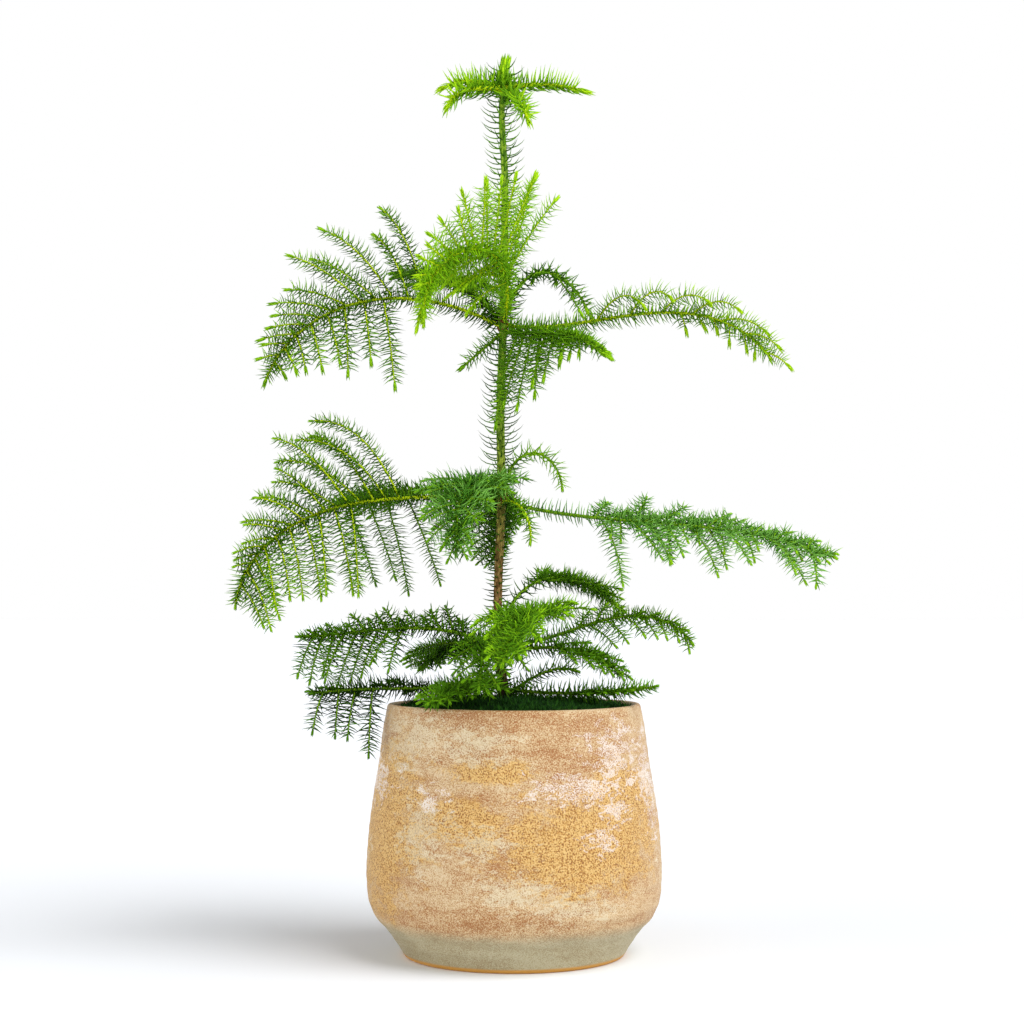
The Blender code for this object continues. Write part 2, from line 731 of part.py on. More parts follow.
def grow_branchlets(name, bough, route, space):
    """Two rows of blades along a bough, each at its full length or shorter where room is tight."""
    grown = []
    for side, row in ((-1.0, bough.left), (1.0, bough.right)):
        gap = BRANCHLET_GAP * row.pitch
        first = max(bough.bare, row.first) * bough.length
        distance = first + (0.5 * gap if side > 0 else 0.0) + BRANCHLET_FIRST
        index = 0
        while distance < bough.length * BRANCHLET_LAST:
            share = distance / bough.length
            seed = f"{name} {side} {index}"
            points, along = branchlet_route(bough, route, share, side, row, seed)
            louvre = math.radians(LOUVRE) * side * (1.0 if row.rise > 0 else -1.0)
            full = route_length(points)
            for shorter in SHORTER:
                if full * shorter < BRANCHLET_LEAST:
                    break
                trimmed = [point_on(points, shorter * step / BRANCHLET_STEPS)
                           for step in range(BRANCHLET_STEPS + 1)]
                trial = blade(trimmed, along, louvre, SPACE_MARGIN)
                if space.free_for(trial, name):
                    grown.append(blade(trimmed, along, louvre))
                    space.take(trial, name + " blades")
                    trial.free()
                    break
                trial.free()
            index += 1
            distance += gap * (1.0 - BRANCHLET_GAP_CLOSES * share)
    return grown


def main():
    """Build the plant from the pot up."""
    clear_scene()
    plant = new_collection("norfolk_island_pine")
    cutters = new_collection("cutters")
    glaze = new_material("glaze", (0.55, 0.42, 0.28), 0.5)
    earth = new_material("earth", (0.05, 0.035, 0.02), 0.9)
    green_moss = new_material("moss", (0.03, 0.11, 0.01), 0.85)
    bark = new_material("bark", (0.16, 0.12, 0.05), 0.8)
    twig_bark = new_material("twig_bark", (0.22, 0.34, 0.05), 0.7)
    leaf = new_material("foliage", (0.07, 0.22, 0.03), 0.6)

    space = Space()
    for made in (build_pot(glaze, plant), build_soil(earth, plant), build_moss(green_moss, plant, cutters)):
        bpy.context.view_layer.update()
        shape = evaluated_shape(made)
        space.take(shape, made.name)
        shape.free()

    trunk_shape = trunk_tube()
    space.take(trunk_shape, "trunk")
    trunk = limb_object("trunk", trunk_shape, bark, plant)
    trunk_shape.free()

    grown = []
    for number, whorl in enumerate(WHORLS, start=1):
        for bough in whorl:
            name = f"foliage_{number}_{bough.side}"
            route = bough_route(bough)
            first = 0.0
            if not bough.short:
                limb_name = f"bough_{number}_{bough.side}"
                first = bough.bare + CLEARANCE / bough.length
                shape = limb(route, 0.0, bough.bare, BOUGH_RADIUS, STEM_RADIUS, BOUGH_STEP, BOUGH_SIDES)
                space.take(shape, limb_name)
                limb_object(limb_name, shape, twig_bark, plant)
                shape.free()
            sides = BOUGH_SIDES if bough.short else STEM_SIDES
            stem = limb(route, first, 1.0, STEM_RADIUS, STEM_TIP_RADIUS, STEM_STEP, sides)
            space.take(stem, name)
            made = limb_object(name, stem, leaf, plant)
            stem.free()
            grown.append((name, bough, route, made))

    for name, bough, route, made in grown:
        if bough.short:
            pieces = needles_round(name, route, NEEDLE_STRETCH, NEEDLE_LENGTH, NEEDLE_GAP, 0.0,
                                   math.radians(NEEDLE_PITCH), space)
        else:
            pieces = grow_branchlets(name, bough, route, space)
        fuse(made, pieces)
    fuse(trunk, grow_trunk_needles(space))


if __name__ == "__main__":
    main()
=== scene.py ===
"""The looks of a potted Norfolk Island pine: soft needles on drooping boughs, in a speckled glazed pot.

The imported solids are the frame. The trunk, the boughs and the rule that grows branchlets from them are
written again here and carried further, to closer branchlets, a needle for each leaf cushion, bark with
relief, moss in tufts and a turned pot under its glaze. Tables are in millimetres and degrees, meshes in
metres, +Z up, with the origin at the middle of the pot's underside. The viewer stands at -Y.
"""
import logging
import math
import random
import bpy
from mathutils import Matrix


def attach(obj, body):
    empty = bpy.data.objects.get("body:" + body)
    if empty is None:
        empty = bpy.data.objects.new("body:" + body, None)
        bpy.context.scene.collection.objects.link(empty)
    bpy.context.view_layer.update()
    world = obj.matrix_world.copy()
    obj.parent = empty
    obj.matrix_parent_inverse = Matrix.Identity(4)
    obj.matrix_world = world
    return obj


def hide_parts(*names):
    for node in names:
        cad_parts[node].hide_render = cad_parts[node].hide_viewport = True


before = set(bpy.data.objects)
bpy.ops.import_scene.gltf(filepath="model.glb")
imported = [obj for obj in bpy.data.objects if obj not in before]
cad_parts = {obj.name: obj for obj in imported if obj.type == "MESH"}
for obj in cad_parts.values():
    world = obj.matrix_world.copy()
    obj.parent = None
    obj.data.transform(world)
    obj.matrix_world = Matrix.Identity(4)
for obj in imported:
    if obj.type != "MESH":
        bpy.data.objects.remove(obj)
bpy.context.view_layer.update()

import zlib
from collections.abc import Iterator
from dataclasses import dataclass
from dataclasses import field
from dataclasses import replace
from enum import Enum

import bpy
import numpy as np
from mathutils import Vector
from mathutils import noise

MM = 0.001
BODY = "root"
GOLDEN_ANGLE = math.radians(137.5)
PIECE_LIMIT = 190000
FOOT = 0.2
TINY = 1e-9

Colour = tuple[float, float, float]
Patch = tuple[float, float, float, float]
Socket = bpy.types.NodeSocket

LOG = logging.getLogger("pine")


class Tint(Enum):
    """The greens that needles are dealt, from the shaded inside to the newest growth, and a dry brown."""

    SHADE = "shade"
    DEEP = "deep"
    COOL = "cool"
    MINT = "mint"
    LEAF = "leaf"
    FRESH = "fresh"
    LIME = "lime"
    GOLD = "gold"
    SCALE = "scale"


class Wood(Enum):
    """The barks of young boughs and twigs."""

    BRIGHT = "bright"
    GREEN = "green"


@dataclass(frozen=True)
class Dress:
    """What a bough's shoots wear: four greens from the darkest to its buds, dealt to needles as painted shade
    and light and by newer growth, and the bark under them.

    thin is how far apart the needles on the bough's own axis stand, as a share of what is usual, and a soft
    bough has longer needles that hang.
    """

    shade: Tint
    old: Tint
    grown: Tint
    bud: Tint
    wood: Wood = Wood.GREEN
    thin: float = 1.0
    soft: bool = False

    def tints(self) -> tuple[Tint, Tint, Tint, Tint]:
        """The tints of needles in order, darkest first."""
        return self.shade, self.old, self.grown, self.bud


DARK = Dress(Tint.SHADE, Tint.LEAF, Tint.LEAF, Tint.FRESH)
DIM = Dress(Tint.SHADE, Tint.SHADE, Tint.DEEP, Tint.LEAF)
COOL = Dress(Tint.COOL, Tint.MINT, Tint.MINT, Tint.LIME, thin=1.5)
SOFT = Dress(Tint.DEEP, Tint.COOL, Tint.MINT, Tint.FRESH, soft=True)
FERN = Dress(Tint.LEAF, Tint.LEAF, Tint.FRESH, Tint.LIME)
LEAFY = Dress(Tint.DEEP, Tint.LEAF, Tint.FRESH, Tint.LIME, Wood.BRIGHT)
GREEN = Dress(Tint.DEEP, Tint.LEAF, Tint.LEAF, Tint.FRESH)
LIMY = Dress(Tint.LEAF, Tint.FRESH, Tint.LIME, Tint.GOLD, Wood.BRIGHT)
YOUNG = Dress(Tint.FRESH, Tint.LIME, Tint.LIME, Tint.GOLD, Wood.BRIGHT, soft=True)
THIN = Dress(Tint.DEEP, Tint.LEAF, Tint.FRESH, Tint.LIME, thin=2.4)
AIRY = Dress(Tint.LEAF, Tint.FRESH, Tint.LIME, Tint.LIME, thin=1.4)


@dataclass(frozen=True)
class Row:
    """One row of branchlets along a bough, on its left or its right seen from the trunk.

    reach is the length of the row's first branchlet, splay its angle to the bough and rise how far the row
    stands above the bough's own level. sag is how much weight bends it, and fade how fast the branchlets
    shorten towards the bough's tip. pitch is how far apart they stand, loose how much they differ, each as
    a share of what is usual, and first the share of the bough where the row starts, if that is past bare.
    """

    reach: float
    splay: float
    rise: float
    sag: float
    fade: float = 0.6
    pitch: float = 1.0
    loose: float = 1.0
    first: float = 0.0


@dataclass(frozen=True)
class Bough:
    """One limb of a whorl: where it leaves the trunk, how it bends and what it carries.

    start is the height of its foot and heading its compass angle from +X. lift, mid and fall are its slope
    at the foot, half way and at the tip, sweep is how far it turns sideways, and bare is the share of its
    length before the first branchlet. A short shoot carries needles and no branchlets.
    """

    side: str
    start: float
    heading: float
    length: float
    lift: float
    mid: float
    fall: float
    sweep: float = 0.0
    bare: float = 0.30
    left: Row = Row(0.0, 0.0, 0.0, 0.0)
    right: Row = Row(0.0, 0.0, 0.0, 0.0)
    short: bool = False
    dress: Dress = GREEN

    def direction(self, share: float) -> Vector:
        """The way the bough points at a share of its length.

        Args:
            share: Place along the bough, 0 at its foot and 1 at its tip.

        Returns:
            A unit vector.
        """
        first = 4 * self.mid - 3 * self.lift - self.fall
        second = 2 * self.lift + 2 * self.fall - 4 * self.mid
        up = math.radians(self.lift + first * share + second * share * share)
        turn = math.radians(self.heading + self.sweep * share)
        return Vector((math.cos(turn) * math.cos(up), math.sin(turn) * math.cos(up), math.sin(up)))

    def across(self, share: float) -> Vector:
        """The level direction to the right of the bough, seen from the trunk."""
        turn = math.radians(self.heading + self.sweep * share)
        return Vector((math.sin(turn), -math.cos(turn), 0.0))


WHORLS = (
    (
        Bough("left", 594.0, 170, 48, 19, 3, -50, short=True, dress=LIMY),
        Bough("front_left", 593.0, 214, 56, -10, -21, -86, short=True, dress=LIMY),
        Bough("right", 594.0, 6, 62, 12, -2, -21, short=True, dress=LIMY),
        Bough("front_right", 590.0, 300, 51, -17, -42, -70, short=True, dress=LIMY),
        Bough("back", 594.5, 88, 55, 15, 5, -40, short=True, dress=LEAFY),
    ),
    (
        Bough("left", 428.0, 184, 192, 27, -12, -75, bare=0.24, dress=LEAFY,
              left=Row(92, 102, -50, 1.2, 0.8, 1.3, 1.3, 0.42), right=Row(104, 78, 66, 0.45, 1.0, 1.0, 1.5)),
        Bough("front", 431.0, 284, 165, 44, 0, -100, sweep=-92, bare=0.18, dress=YOUNG,
              left=Row(88, 80, 74, 0.2, 1.0, 0.7, 1.4), right=Row(52, 76, -24, 0.9, 0.3, 0.55, 2.0)),
        Bough("right", 428.0, 4, 199, -7, 5, -62, bare=0.24, dress=LIMY,
              left=Row(18, 80, -50, 1.2, 0.05, 1.2, 1.3, 0.60), right=Row(50, 66, 70, 1.7, 0.25, 2.1, 1.2)),
        Bough("front_right", 423.5, 322, 88, -10, -10, -46, bare=0.06, dress=FERN,
              left=Row(36, 56, 10, 0.5, 0.4, 0.6, 1.5), right=Row(84, 88, -56, 0.9, 1.4, 0.55, 1.2)),
        Bough("front_left", 421.5, 217, 45, -39, -38, -41, short=True, dress=GREEN),
        Bough("back_right", 433.0, 58, 150, 68, 4, -50, bare=0.4, dress=THIN,
              left=Row(20, 60, -10, 1.2, 0.5, 2.4), right=Row(48, 66, -60, 0.6, 0.8, 3.6)),
        Bough("back_left", 430.0, 126, 140, 42, 22, 0, dress=DARK,
              left=Row(52, 76, 8, 0.8), right=Row(54, 76, 8, 0.8)),
    ),
    (
        Bough("left", 313.0, 183, 215, -8, -14, -87, bare=0.28, dress=LEAFY,
              left=Row(84, 104, -50, 1.4, 0.3, 1.1, 1.2, 0.46), right=Row(118, 80, 66, 0.6, 1.4, 0.8, 1.3)),
        Bough("front_left", 312.0, 246, 128, 10, -18, -100, sweep=20, bare=0.14, dress=SOFT,
              left=Row(44, 76, 16, 0.7, 0.4, 0.55, 2.4), right=Row(44, 76, 4, 0.7, 0.4, 0.55, 2.4)),
        Bough("right", 306.0, 358, 231, -15, -5, -24, bare=0.26, dress=COOL,
              left=Row(36, 70, 34, 0.5, 0.3, 0.6, 2.0), right=Row(56, 86, -40, 1.3, 0.12, 0.62, 4.2)),
        Bough("back_right", 316.0, 45, 85, 78, 1, -89, short=True, dress=AIRY),
        Bough("front_right", 306.0, 302, 54, 3, -39, -110, short=True, dress=LEAFY),
        Bough("back", 309.0, 88, 185, 2, -12, -45, sweep=8, dress=DARK,
              left=Row(62, 76, 4, 0.7), right=Row(32, 56, 4, 0.7)),
        Bough("back_left", 311.0, 141, 150, 0, 4, -22, sweep=8, bare=0.34, dress=DARK,
              left=Row(52, 76, -8, 0.8), right=Row(86, 118, -66, 0.4, 0.1, 1.8, 1.0, 0.48)),
    ),
    (
        Bough("left", 206.0, 176, 141, 32, -3, 0, bare=0.12, dress=DARK,
              left=Row(42, 94, -50, 1.0, 0.0, 0.8, 1.6, 0.45), right=Row(34, 76, 40, 0.5, 0.5, 0.7, 2.0)),
        Bough("front_left", 208.0, 262, 100, 14, -14, -70, bare=0.2, dress=GREEN,
              left=Row(42, 76, -20, 0.9, 0.5, 1.3, 1.5), right=Row(40, 76, -6, 0.9, 0.5, 1.3, 1.5)),
        Bough("right", 209.0, 6, 142, -3, 14, -62, bare=0.36, dress=FERN,
              left=Row(24, 66, 40, 0.8, 0.4, 1.2, 1.5), right=Row(28, 76, -40, 1.2, 0.3, 1.2, 1.5)),
        Bough("back_right", 213.0, 40, 120, 88, 12, -28, bare=0.42, dress=THIN,
              left=Row(42, 40, 16, 0.4, 0.3, 1.0, 1.6), right=Row(62, 46, -30, 0.3, 0.4, 0.8, 1.8)),
        Bough("front", 211.0, 302, 150, 14, 4, -72, sweep=-68, dress=FERN,
              left=Row(50, 70, 14, 0.6, 0.5, 0.65, 2.0), right=Row(46, 70, 4, 0.8, 0.5, 0.65, 2.0)),
        Bough("front_right", 205.0, 340, 90, 4, -6, -48, bare=0.35, dress=GREEN,
              left=Row(34, 60, 16, 0.5, 0.4), right=Row(34, 60, -10, 0.6, 0.4)),
        Bough("back_left", 207.0, 122, 115, 6, -8, -35, dress=DARK,
              left=Row(48, 76, 5, 0.6), right=Row(48, 76, 5, 0.6)),
    ),
    (
        Bough("left", 184.0, 186, 130, -12, 0, -9, sweep=14, dress=DIM,
              left=Row(56, 98, -58, 0.8, 0.2, 1.2, 1.3, 0.55), right=Row(34, 76, 14, 0.7, 0.4, 1.2, 1.4)),
        Bough("back_right", 175.0, 35, 66, 27, 17, -24, short=True, dress=DARK),
        Bough("right", 178.0, 342, 109, -5, 2, 11, sweep=-10, bare=0.40, dress=GREEN,
              left=Row(20, 60, 14, 0.4, 0.4), right=Row(18, 60, 4, 0.4, 0.4)),
        Bough("front_left", 181.0, 240, 95, 5, -5, -20, dress=GREEN,
              left=Row(36, 76, 6, 0.6), right=Row(36, 76, 6, 0.6)),
    ),
)


@dataclass(frozen=True)
class Grain:
    """One noise of a finish: its features are about 1/scale metres, with each axis scaled by stretch."""

    scale: float
    detail: float = 4.0
    roughness: float = 0.55
    distortion: float = 0.0
    stretch: tuple[float, float, float] = (1.0, 1.0, 1.0)


class Board:
    """The nodes of one material, added and linked by short calls.

    FRAY is how far a noise moves a patch's edge, as a share of its half width, and PATCH_EDGE where a patch
    ends and where it is whole.
    """

    FRAY = 4.2
    PATCH_EDGE = (1.35, 0.75)

    def __init__(self, name: str) -> None:
        """Start a material with its shader.

        Args:
            name: The material's name.
        """
        self.material = bpy.data.materials.new(name)
        self.material.use_nodes = True
        self.nodes = self.material.node_tree.nodes
        self.links = self.material.node_tree.links
        self.shader = self.nodes["Principled BSDF"]

    def set(self, socket: str, value: float | Colour) -> None:
        """Set a socket of the shader, with its fourth value where it is a colour.

        Args:
            socket: The socket's name.
            value: A number or a colour.
        """
        if isinstance(value, tuple):
            value = (*value, 1.0)
        self.shader.inputs[socket].default_value = value

    def feed(self, socket: str, source: Socket) -> None:
        """Link a source to a socket of the shader."""
        self.links.new(source, self.shader.inputs[socket])

    def place(self, stretch: tuple[float, float, float] = (1.0, 1.0, 1.0)) -> Socket:
        """The place on the object in metres, with each axis scaled.

        Args:
            stretch: The scale of each axis.

        Returns:
            The place.
        """
        coordinates = self.nodes.new("ShaderNodeTexCoord")
        mapping = self.nodes.new("ShaderNodeMapping")
        mapping.inputs["Scale"].default_value = stretch
        self.links.new(coordinates.outputs["Object"], mapping.inputs["Vector"])
        return mapping.outputs["Vector"]

    def noise(self, grain: Grain) -> Socket:
        """A noise from 0 to 1.

        Args:
            grain: Its size and roughness.

        Returns:
            The noise.
        """
        made = self.nodes.new("ShaderNodeTexNoise")
        made.inputs["Scale"].default_value = grain.scale
        made.inputs["Detail"].default_value = grain.detail
        made.inputs["Roughness"].default_value = grain.roughness
        made.inputs["Distortion"].default_value = grain.distortion
        self.links.new(self.place(grain.stretch), made.inputs["Vector"])
        return made.outputs["Fac"]

    def axes(self) -> tuple[Socket, Socket, Socket]:
        """Split the place on the object.

        Returns:
            X, Y and Z in metres.
        """
        split = self.nodes.new("ShaderNodeSeparateXYZ")
        self.links.new(self.place(), split.inputs["Vector"])
        return split.outputs["X"], split.outputs["Y"], split.outputs["Z"]

    def unrolled(self, radius: float) -> Socket:
        """The wall of a turned piece, laid flat.

        Args:
            radius: The wall's usual radius in metres.

        Returns:
            Metres round the wall from the viewer's side, and its height.
        """
        across, depth, height = self.axes()
        angle = self.math("ARCTAN2", across, self.math("MULTIPLY", depth, -1.0))
        joined = self.nodes.new("ShaderNodeCombineXYZ")
        self.links.new(self.math("MULTIPLY", angle, radius), joined.inputs["X"])
        self.links.new(height, joined.inputs["Y"])
        return joined.outputs["Vector"]

    def patches(self, flat: Socket, wobble: Socket, table: tuple[Patch, ...]) -> Socket:
        """Where any of some ragged patches lies on an unrolled wall.

        Args:
            flat: The wall laid flat.
            wobble: A noise that frays their edges.
            table: Each patch's place round the wall, height, half width and half height in millimetres.

        Returns:
            1 inside a patch, falling to 0 over its edge.
        """
        fray = self.swing(wobble, self.FRAY)
        whole = None
        for around, height, half_width, half_height in table:
            scale = (1.0 / (half_width * MM), 1.0 / (half_height * MM), 1.0)
            centred = self.nodes.new("ShaderNodeMapping")
            centred.inputs["Scale"].default_value = scale
            centred.inputs["Location"].default_value = (-around * MM * scale[0], -height * MM * scale[1], 0.0)
            self.links.new(flat, centred.inputs["Vector"])
            length = self.nodes.new("ShaderNodeVectorMath")
            length.operation = "LENGTH"
            self.links.new(centred.outputs["Vector"], length.inputs[0])
            here = self.window(self.math("ADD", length.outputs["Value"], fray), *self.PATCH_EDGE)
            whole = here if whole is None else self.math("MAXIMUM", whole, here)
        return whole

    def ramp(self, source: Socket, stops: tuple[tuple[float, Colour], ...]) -> Socket:
        """A colour that follows a source through some stops.

        Args:
            source: What is read.
            stops: Each value with its colour, lowest first.

        Returns:
            The colour.
        """
        made = self.nodes.new("ShaderNodeValToRGB")
        elements = made.color_ramp.elements
        while len(elements) < len(stops):
            elements.new(0.5)
        for element, (value, colour) in zip(elements, stops):
            element.position = value
            element.color = (*colour, 1.0)
        self.links.new(source, made.inputs["Fac"])
        return made.outputs["Color"]

    def window(self, source: Socket, low: float, high: float, bottom: float = 0.0,
               top: float = 1.0) -> Socket:
        """A smooth step.

        Args:
            source: What is read.
            low: The source's value where the step starts.
            high: Its value where the step ends.
            bottom: The step's value at its start.
            top: Its value at its end.

        Returns:
            The step.
        """
        made = self.nodes.new("ShaderNodeMapRange")
        made.interpolation_type = "SMOOTHSTEP"
        made.inputs["From Min"].default_value = low
        made.inputs["From Max"].default_value = high
        made.inputs["To Min"].default_value = bottom
        made.inputs["To Max"].default_value = top
        self.links.new(source, made.inputs["Value"])
        return made.outputs["Result"]

    def math(self, operation: str, first: Socket | float, second: Socket | float) -> Socket:
        """One sum on two sockets or numbers.

        Args:
            operation: The sum's name.
            first: A socket or a number.
            second: Another.

        Returns:
            The result.
        """
        made = self.nodes.new("ShaderNodeMath")
        made.operation = operation
        for index, value in enumerate((first, second)):
            if isinstance(value, (int, float)):
                made.inputs[index].default_value = value
            else:
                self.links.new(value, made.inputs[index])
        return made.outputs["Value"]

    def swing(self, source: Socket, weight: float) -> Socket:
        """How far a noise stands from its middle, times a weight."""
        return self.math("MULTIPLY", self.math("SUBTRACT", source, 0.5), weight)

    def mix(self, factor: Socket, first: Socket | Colour, second: Socket | Colour) -> Socket:
        """A colour between two.

        Args:
            factor: 0 for the first and 1 for the second.
            first: A socket or a plain colour.
            second: Another.

        Returns:
            The colour.
        """
        made = self.nodes.new("ShaderNodeMix")
        made.data_type = "RGBA"
        self.links.new(factor, made.inputs["Factor"])
        for socket, value in ((made.inputs[6], first), (made.inputs[7], second)):
            if isinstance(value, tuple):
                socket.default_value = (*value, 1.0)
            else:
                self.links.new(value, socket)
        return made.outputs[2]

    def cover(self, under: Socket, where: Socket, share: float, over: Socket | Colour) -> Socket:
        """A colour laid over another where a mask says, as far as a share allows."""
        return self.mix(self.math("MULTIPLY", where, share), under, over)

    def bump(self, source: Socket, depth: float, under: Socket | None = None) -> Socket:
        """A relief, laid over another.

        Args:
            source: Its height.
            depth: How deep it is where the source is 1, in metres.
            under: The relief below, if there is one.

        Returns:
            The normal.
        """
        made = self.nodes.new("ShaderNodeBump")
        made.inputs["Strength"].default_value = 1.0
        made.inputs["Distance"].default_value = depth
        self.links.new(source, made.inputs["Height"])
        if under is not None:
            self.links.new(under, made.inputs["Normal"])
        return made.outputs["Normal"]


class Finish:
    """What every finish shares: it makes its own material."""

    def material(self, name: str) -> bpy.types.Material:
        """Make the finish.

        Args:
            name: The material's name.

        Returns:
            The material, with its nodes linked.
        """
        board = Board(name)
        self.paint(board)
        return board.material

    def paint(self, board: Board) -> None:
        """Set and link the nodes of the material."""
        raise NotImplementedError


@dataclass(frozen=True)
class NeedleFinish(Finish):
    """The finish of one tint of needles."""

    colour: Colour
    roughness: float = 0.6
    specular: float = 0.05

    def paint(self, board: Board) -> None:
        """A plain green with a soft gloss.

        Args:
            board: The material's nodes.
        """
        board.set("Base Color", self.colour)
        board.set("Roughness", self.roughness)
        board.set("Specular IOR Level", self.specular)


NEEDLE_FINISHES = {
    Tint.SHADE: NeedleFinish((0.012, 0.042, 0.001)),
    Tint.DEEP: NeedleFinish((0.038, 0.118, 0.003)),
    Tint.COOL: NeedleFinish((0.074, 0.240, 0.018)),
    Tint.MINT: NeedleFinish((0.200, 0.465, 0.075)),
    Tint.LEAF: NeedleFinish((0.084, 0.235, 0.005)),
    Tint.FRESH: NeedleFinish((0.168, 0.400, 0.008)),
    Tint.LIME: NeedleFinish((0.290, 0.590, 0.008)),
    Tint.GOLD: NeedleFinish((0.440, 0.740, 0.010)),
    Tint.SCALE: NeedleFinish((0.190, 0.085, 0.025), roughness=0.7),
}


@dataclass(frozen=True)
class TwigFinish(Finish):
    """The bark of a young bough: green, mottled with a paler green."""

    colour: Colour
    cushion: Colour
    relief: float = 0.00015
    roughness: float = 0.6
    specular: float = 0.12

    MOTTLE = Grain(700.0, 3.0)

    def paint(self, board: Board) -> None:
        """A mottled green bark with a fine relief.

        Args:
            board: The material's nodes.
        """
        mottle = board.noise(self.MOTTLE)
        board.feed("Base Color", board.mix(board.window(mottle, 0.35, 0.65), self.colour, self.cushion))
        board.set("Roughness", self.roughness)
        board.set("Specular IOR Level", self.specular)
        board.feed("Normal", board.bump(mottle, self.relief))


TWIG_FINISHES = {
    Wood.BRIGHT: TwigFinish((0.330, 0.500, 0.002), (0.640, 0.800, 0.004)),
    Wood.GREEN: TwigFinish((0.080, 0.220, 0.003), (0.230, 0.420, 0.004)),
}


@dataclass(frozen=True)
class BarkFinish(Finish):
    """The trunk's bark: dark brown at the soil, brown and flaky below, green above.

    It turns from its foot's colour over the heights of soil_line and to green over those of green_line, both
    in metres, and the streaks make that second edge wander.
    """

    foot: Colour = (0.022, 0.016, 0.008)
    brown: Colour = (0.105, 0.055, 0.014)
    flake: Colour = (0.330, 0.190, 0.070)
    green: Colour = (0.060, 0.170, 0.004)
    pale: Colour = (0.330, 0.520, 0.030)
    soil_line: tuple[float, float] = (0.165, 0.225)
    green_line: tuple[float, float] = (0.28, 0.44)
    wander: float = 0.08
    streak_relief: float = 0.0004
    fine_relief: float = 0.00010
    specular: float = 0.12

    STREAKS = Grain(520.0, 5.0, 0.6, stretch=(1.0, 1.0, 0.35))
    FINE = Grain(1400.0, 3.0)

    def paint(self, board: Board) -> None:
        """A bark that turns from brown to green with height.

        Args:
            board: The material's nodes.
        """
        _, _, height = board.axes()
        streaks = board.noise(self.STREAKS)
        fine = board.noise(self.FINE)
        low = board.mix(board.window(streaks, 0.42, 0.66), self.brown, self.flake)
        high = board.mix(board.window(streaks, 0.40, 0.66), self.green, self.pale)
        edge = board.math("ADD", height, board.math("MULTIPLY", streaks, self.wander))
        body = board.mix(board.window(edge, *self.green_line), low, high)
        board.feed("Base Color", board.mix(board.window(height, *self.soil_line), self.foot, body))
        board.feed("Roughness", board.window(height, 0.20, 0.45, 0.85, 0.55))
        board.set("Specular IOR Level", self.specular)
        board.feed("Normal", board.bump(fine, self.fine_relief, board.bump(streaks, self.streak_relief)))


@dataclass(frozen=True)
class SoilFinish(Finish):
    """Damp dark potting soil."""

    colour: Colour = (0.030, 0.020, 0.012)
    crumb: Colour = (0.085, 0.055, 0.032)
    relief: float = 0.0012
    roughness: float = 0.9

    CRUMBS = Grain(380.0, 8.0, 0.7)

    def paint(self, board: Board) -> None:
        """A crumbly soil.

        Args:
            board: The material's nodes.
        """
        crumbs = board.noise(self.CRUMBS)
        board.feed("Base Color", board.ramp(crumbs, ((0.35, self.colour), (0.70, self.crumb))))
        board.set("Roughness", self.roughness)
        board.feed("Normal", board.bump(crumbs, self.relief))


@dataclass(frozen=True)
class MossFinish(Finish):
    """Deep green moss: the dark bed or the brighter blades that stand in it."""

    dark: Colour
    light: Colour
    relief: float = 0.0006
    roughness: float = 0.75
    specular: float = 0.15

    MOTTLE = Grain(160.0, 5.0, 0.65)
    FINE = Grain(900.0)

    def paint(self, board: Board) -> None:
        """A moss mottled between its two greens.

        Args:
            board: The material's nodes.
        """
        mottle = board.noise(self.MOTTLE)
        board.feed("Base Color", board.ramp(mottle, ((0.36, self.dark), (0.66, self.light))))
        board.set("Roughness", self.roughness)
        board.set("Specular IOR Level", self.specular)
        board.feed("Normal", board.bump(board.noise(self.FINE), self.relief))


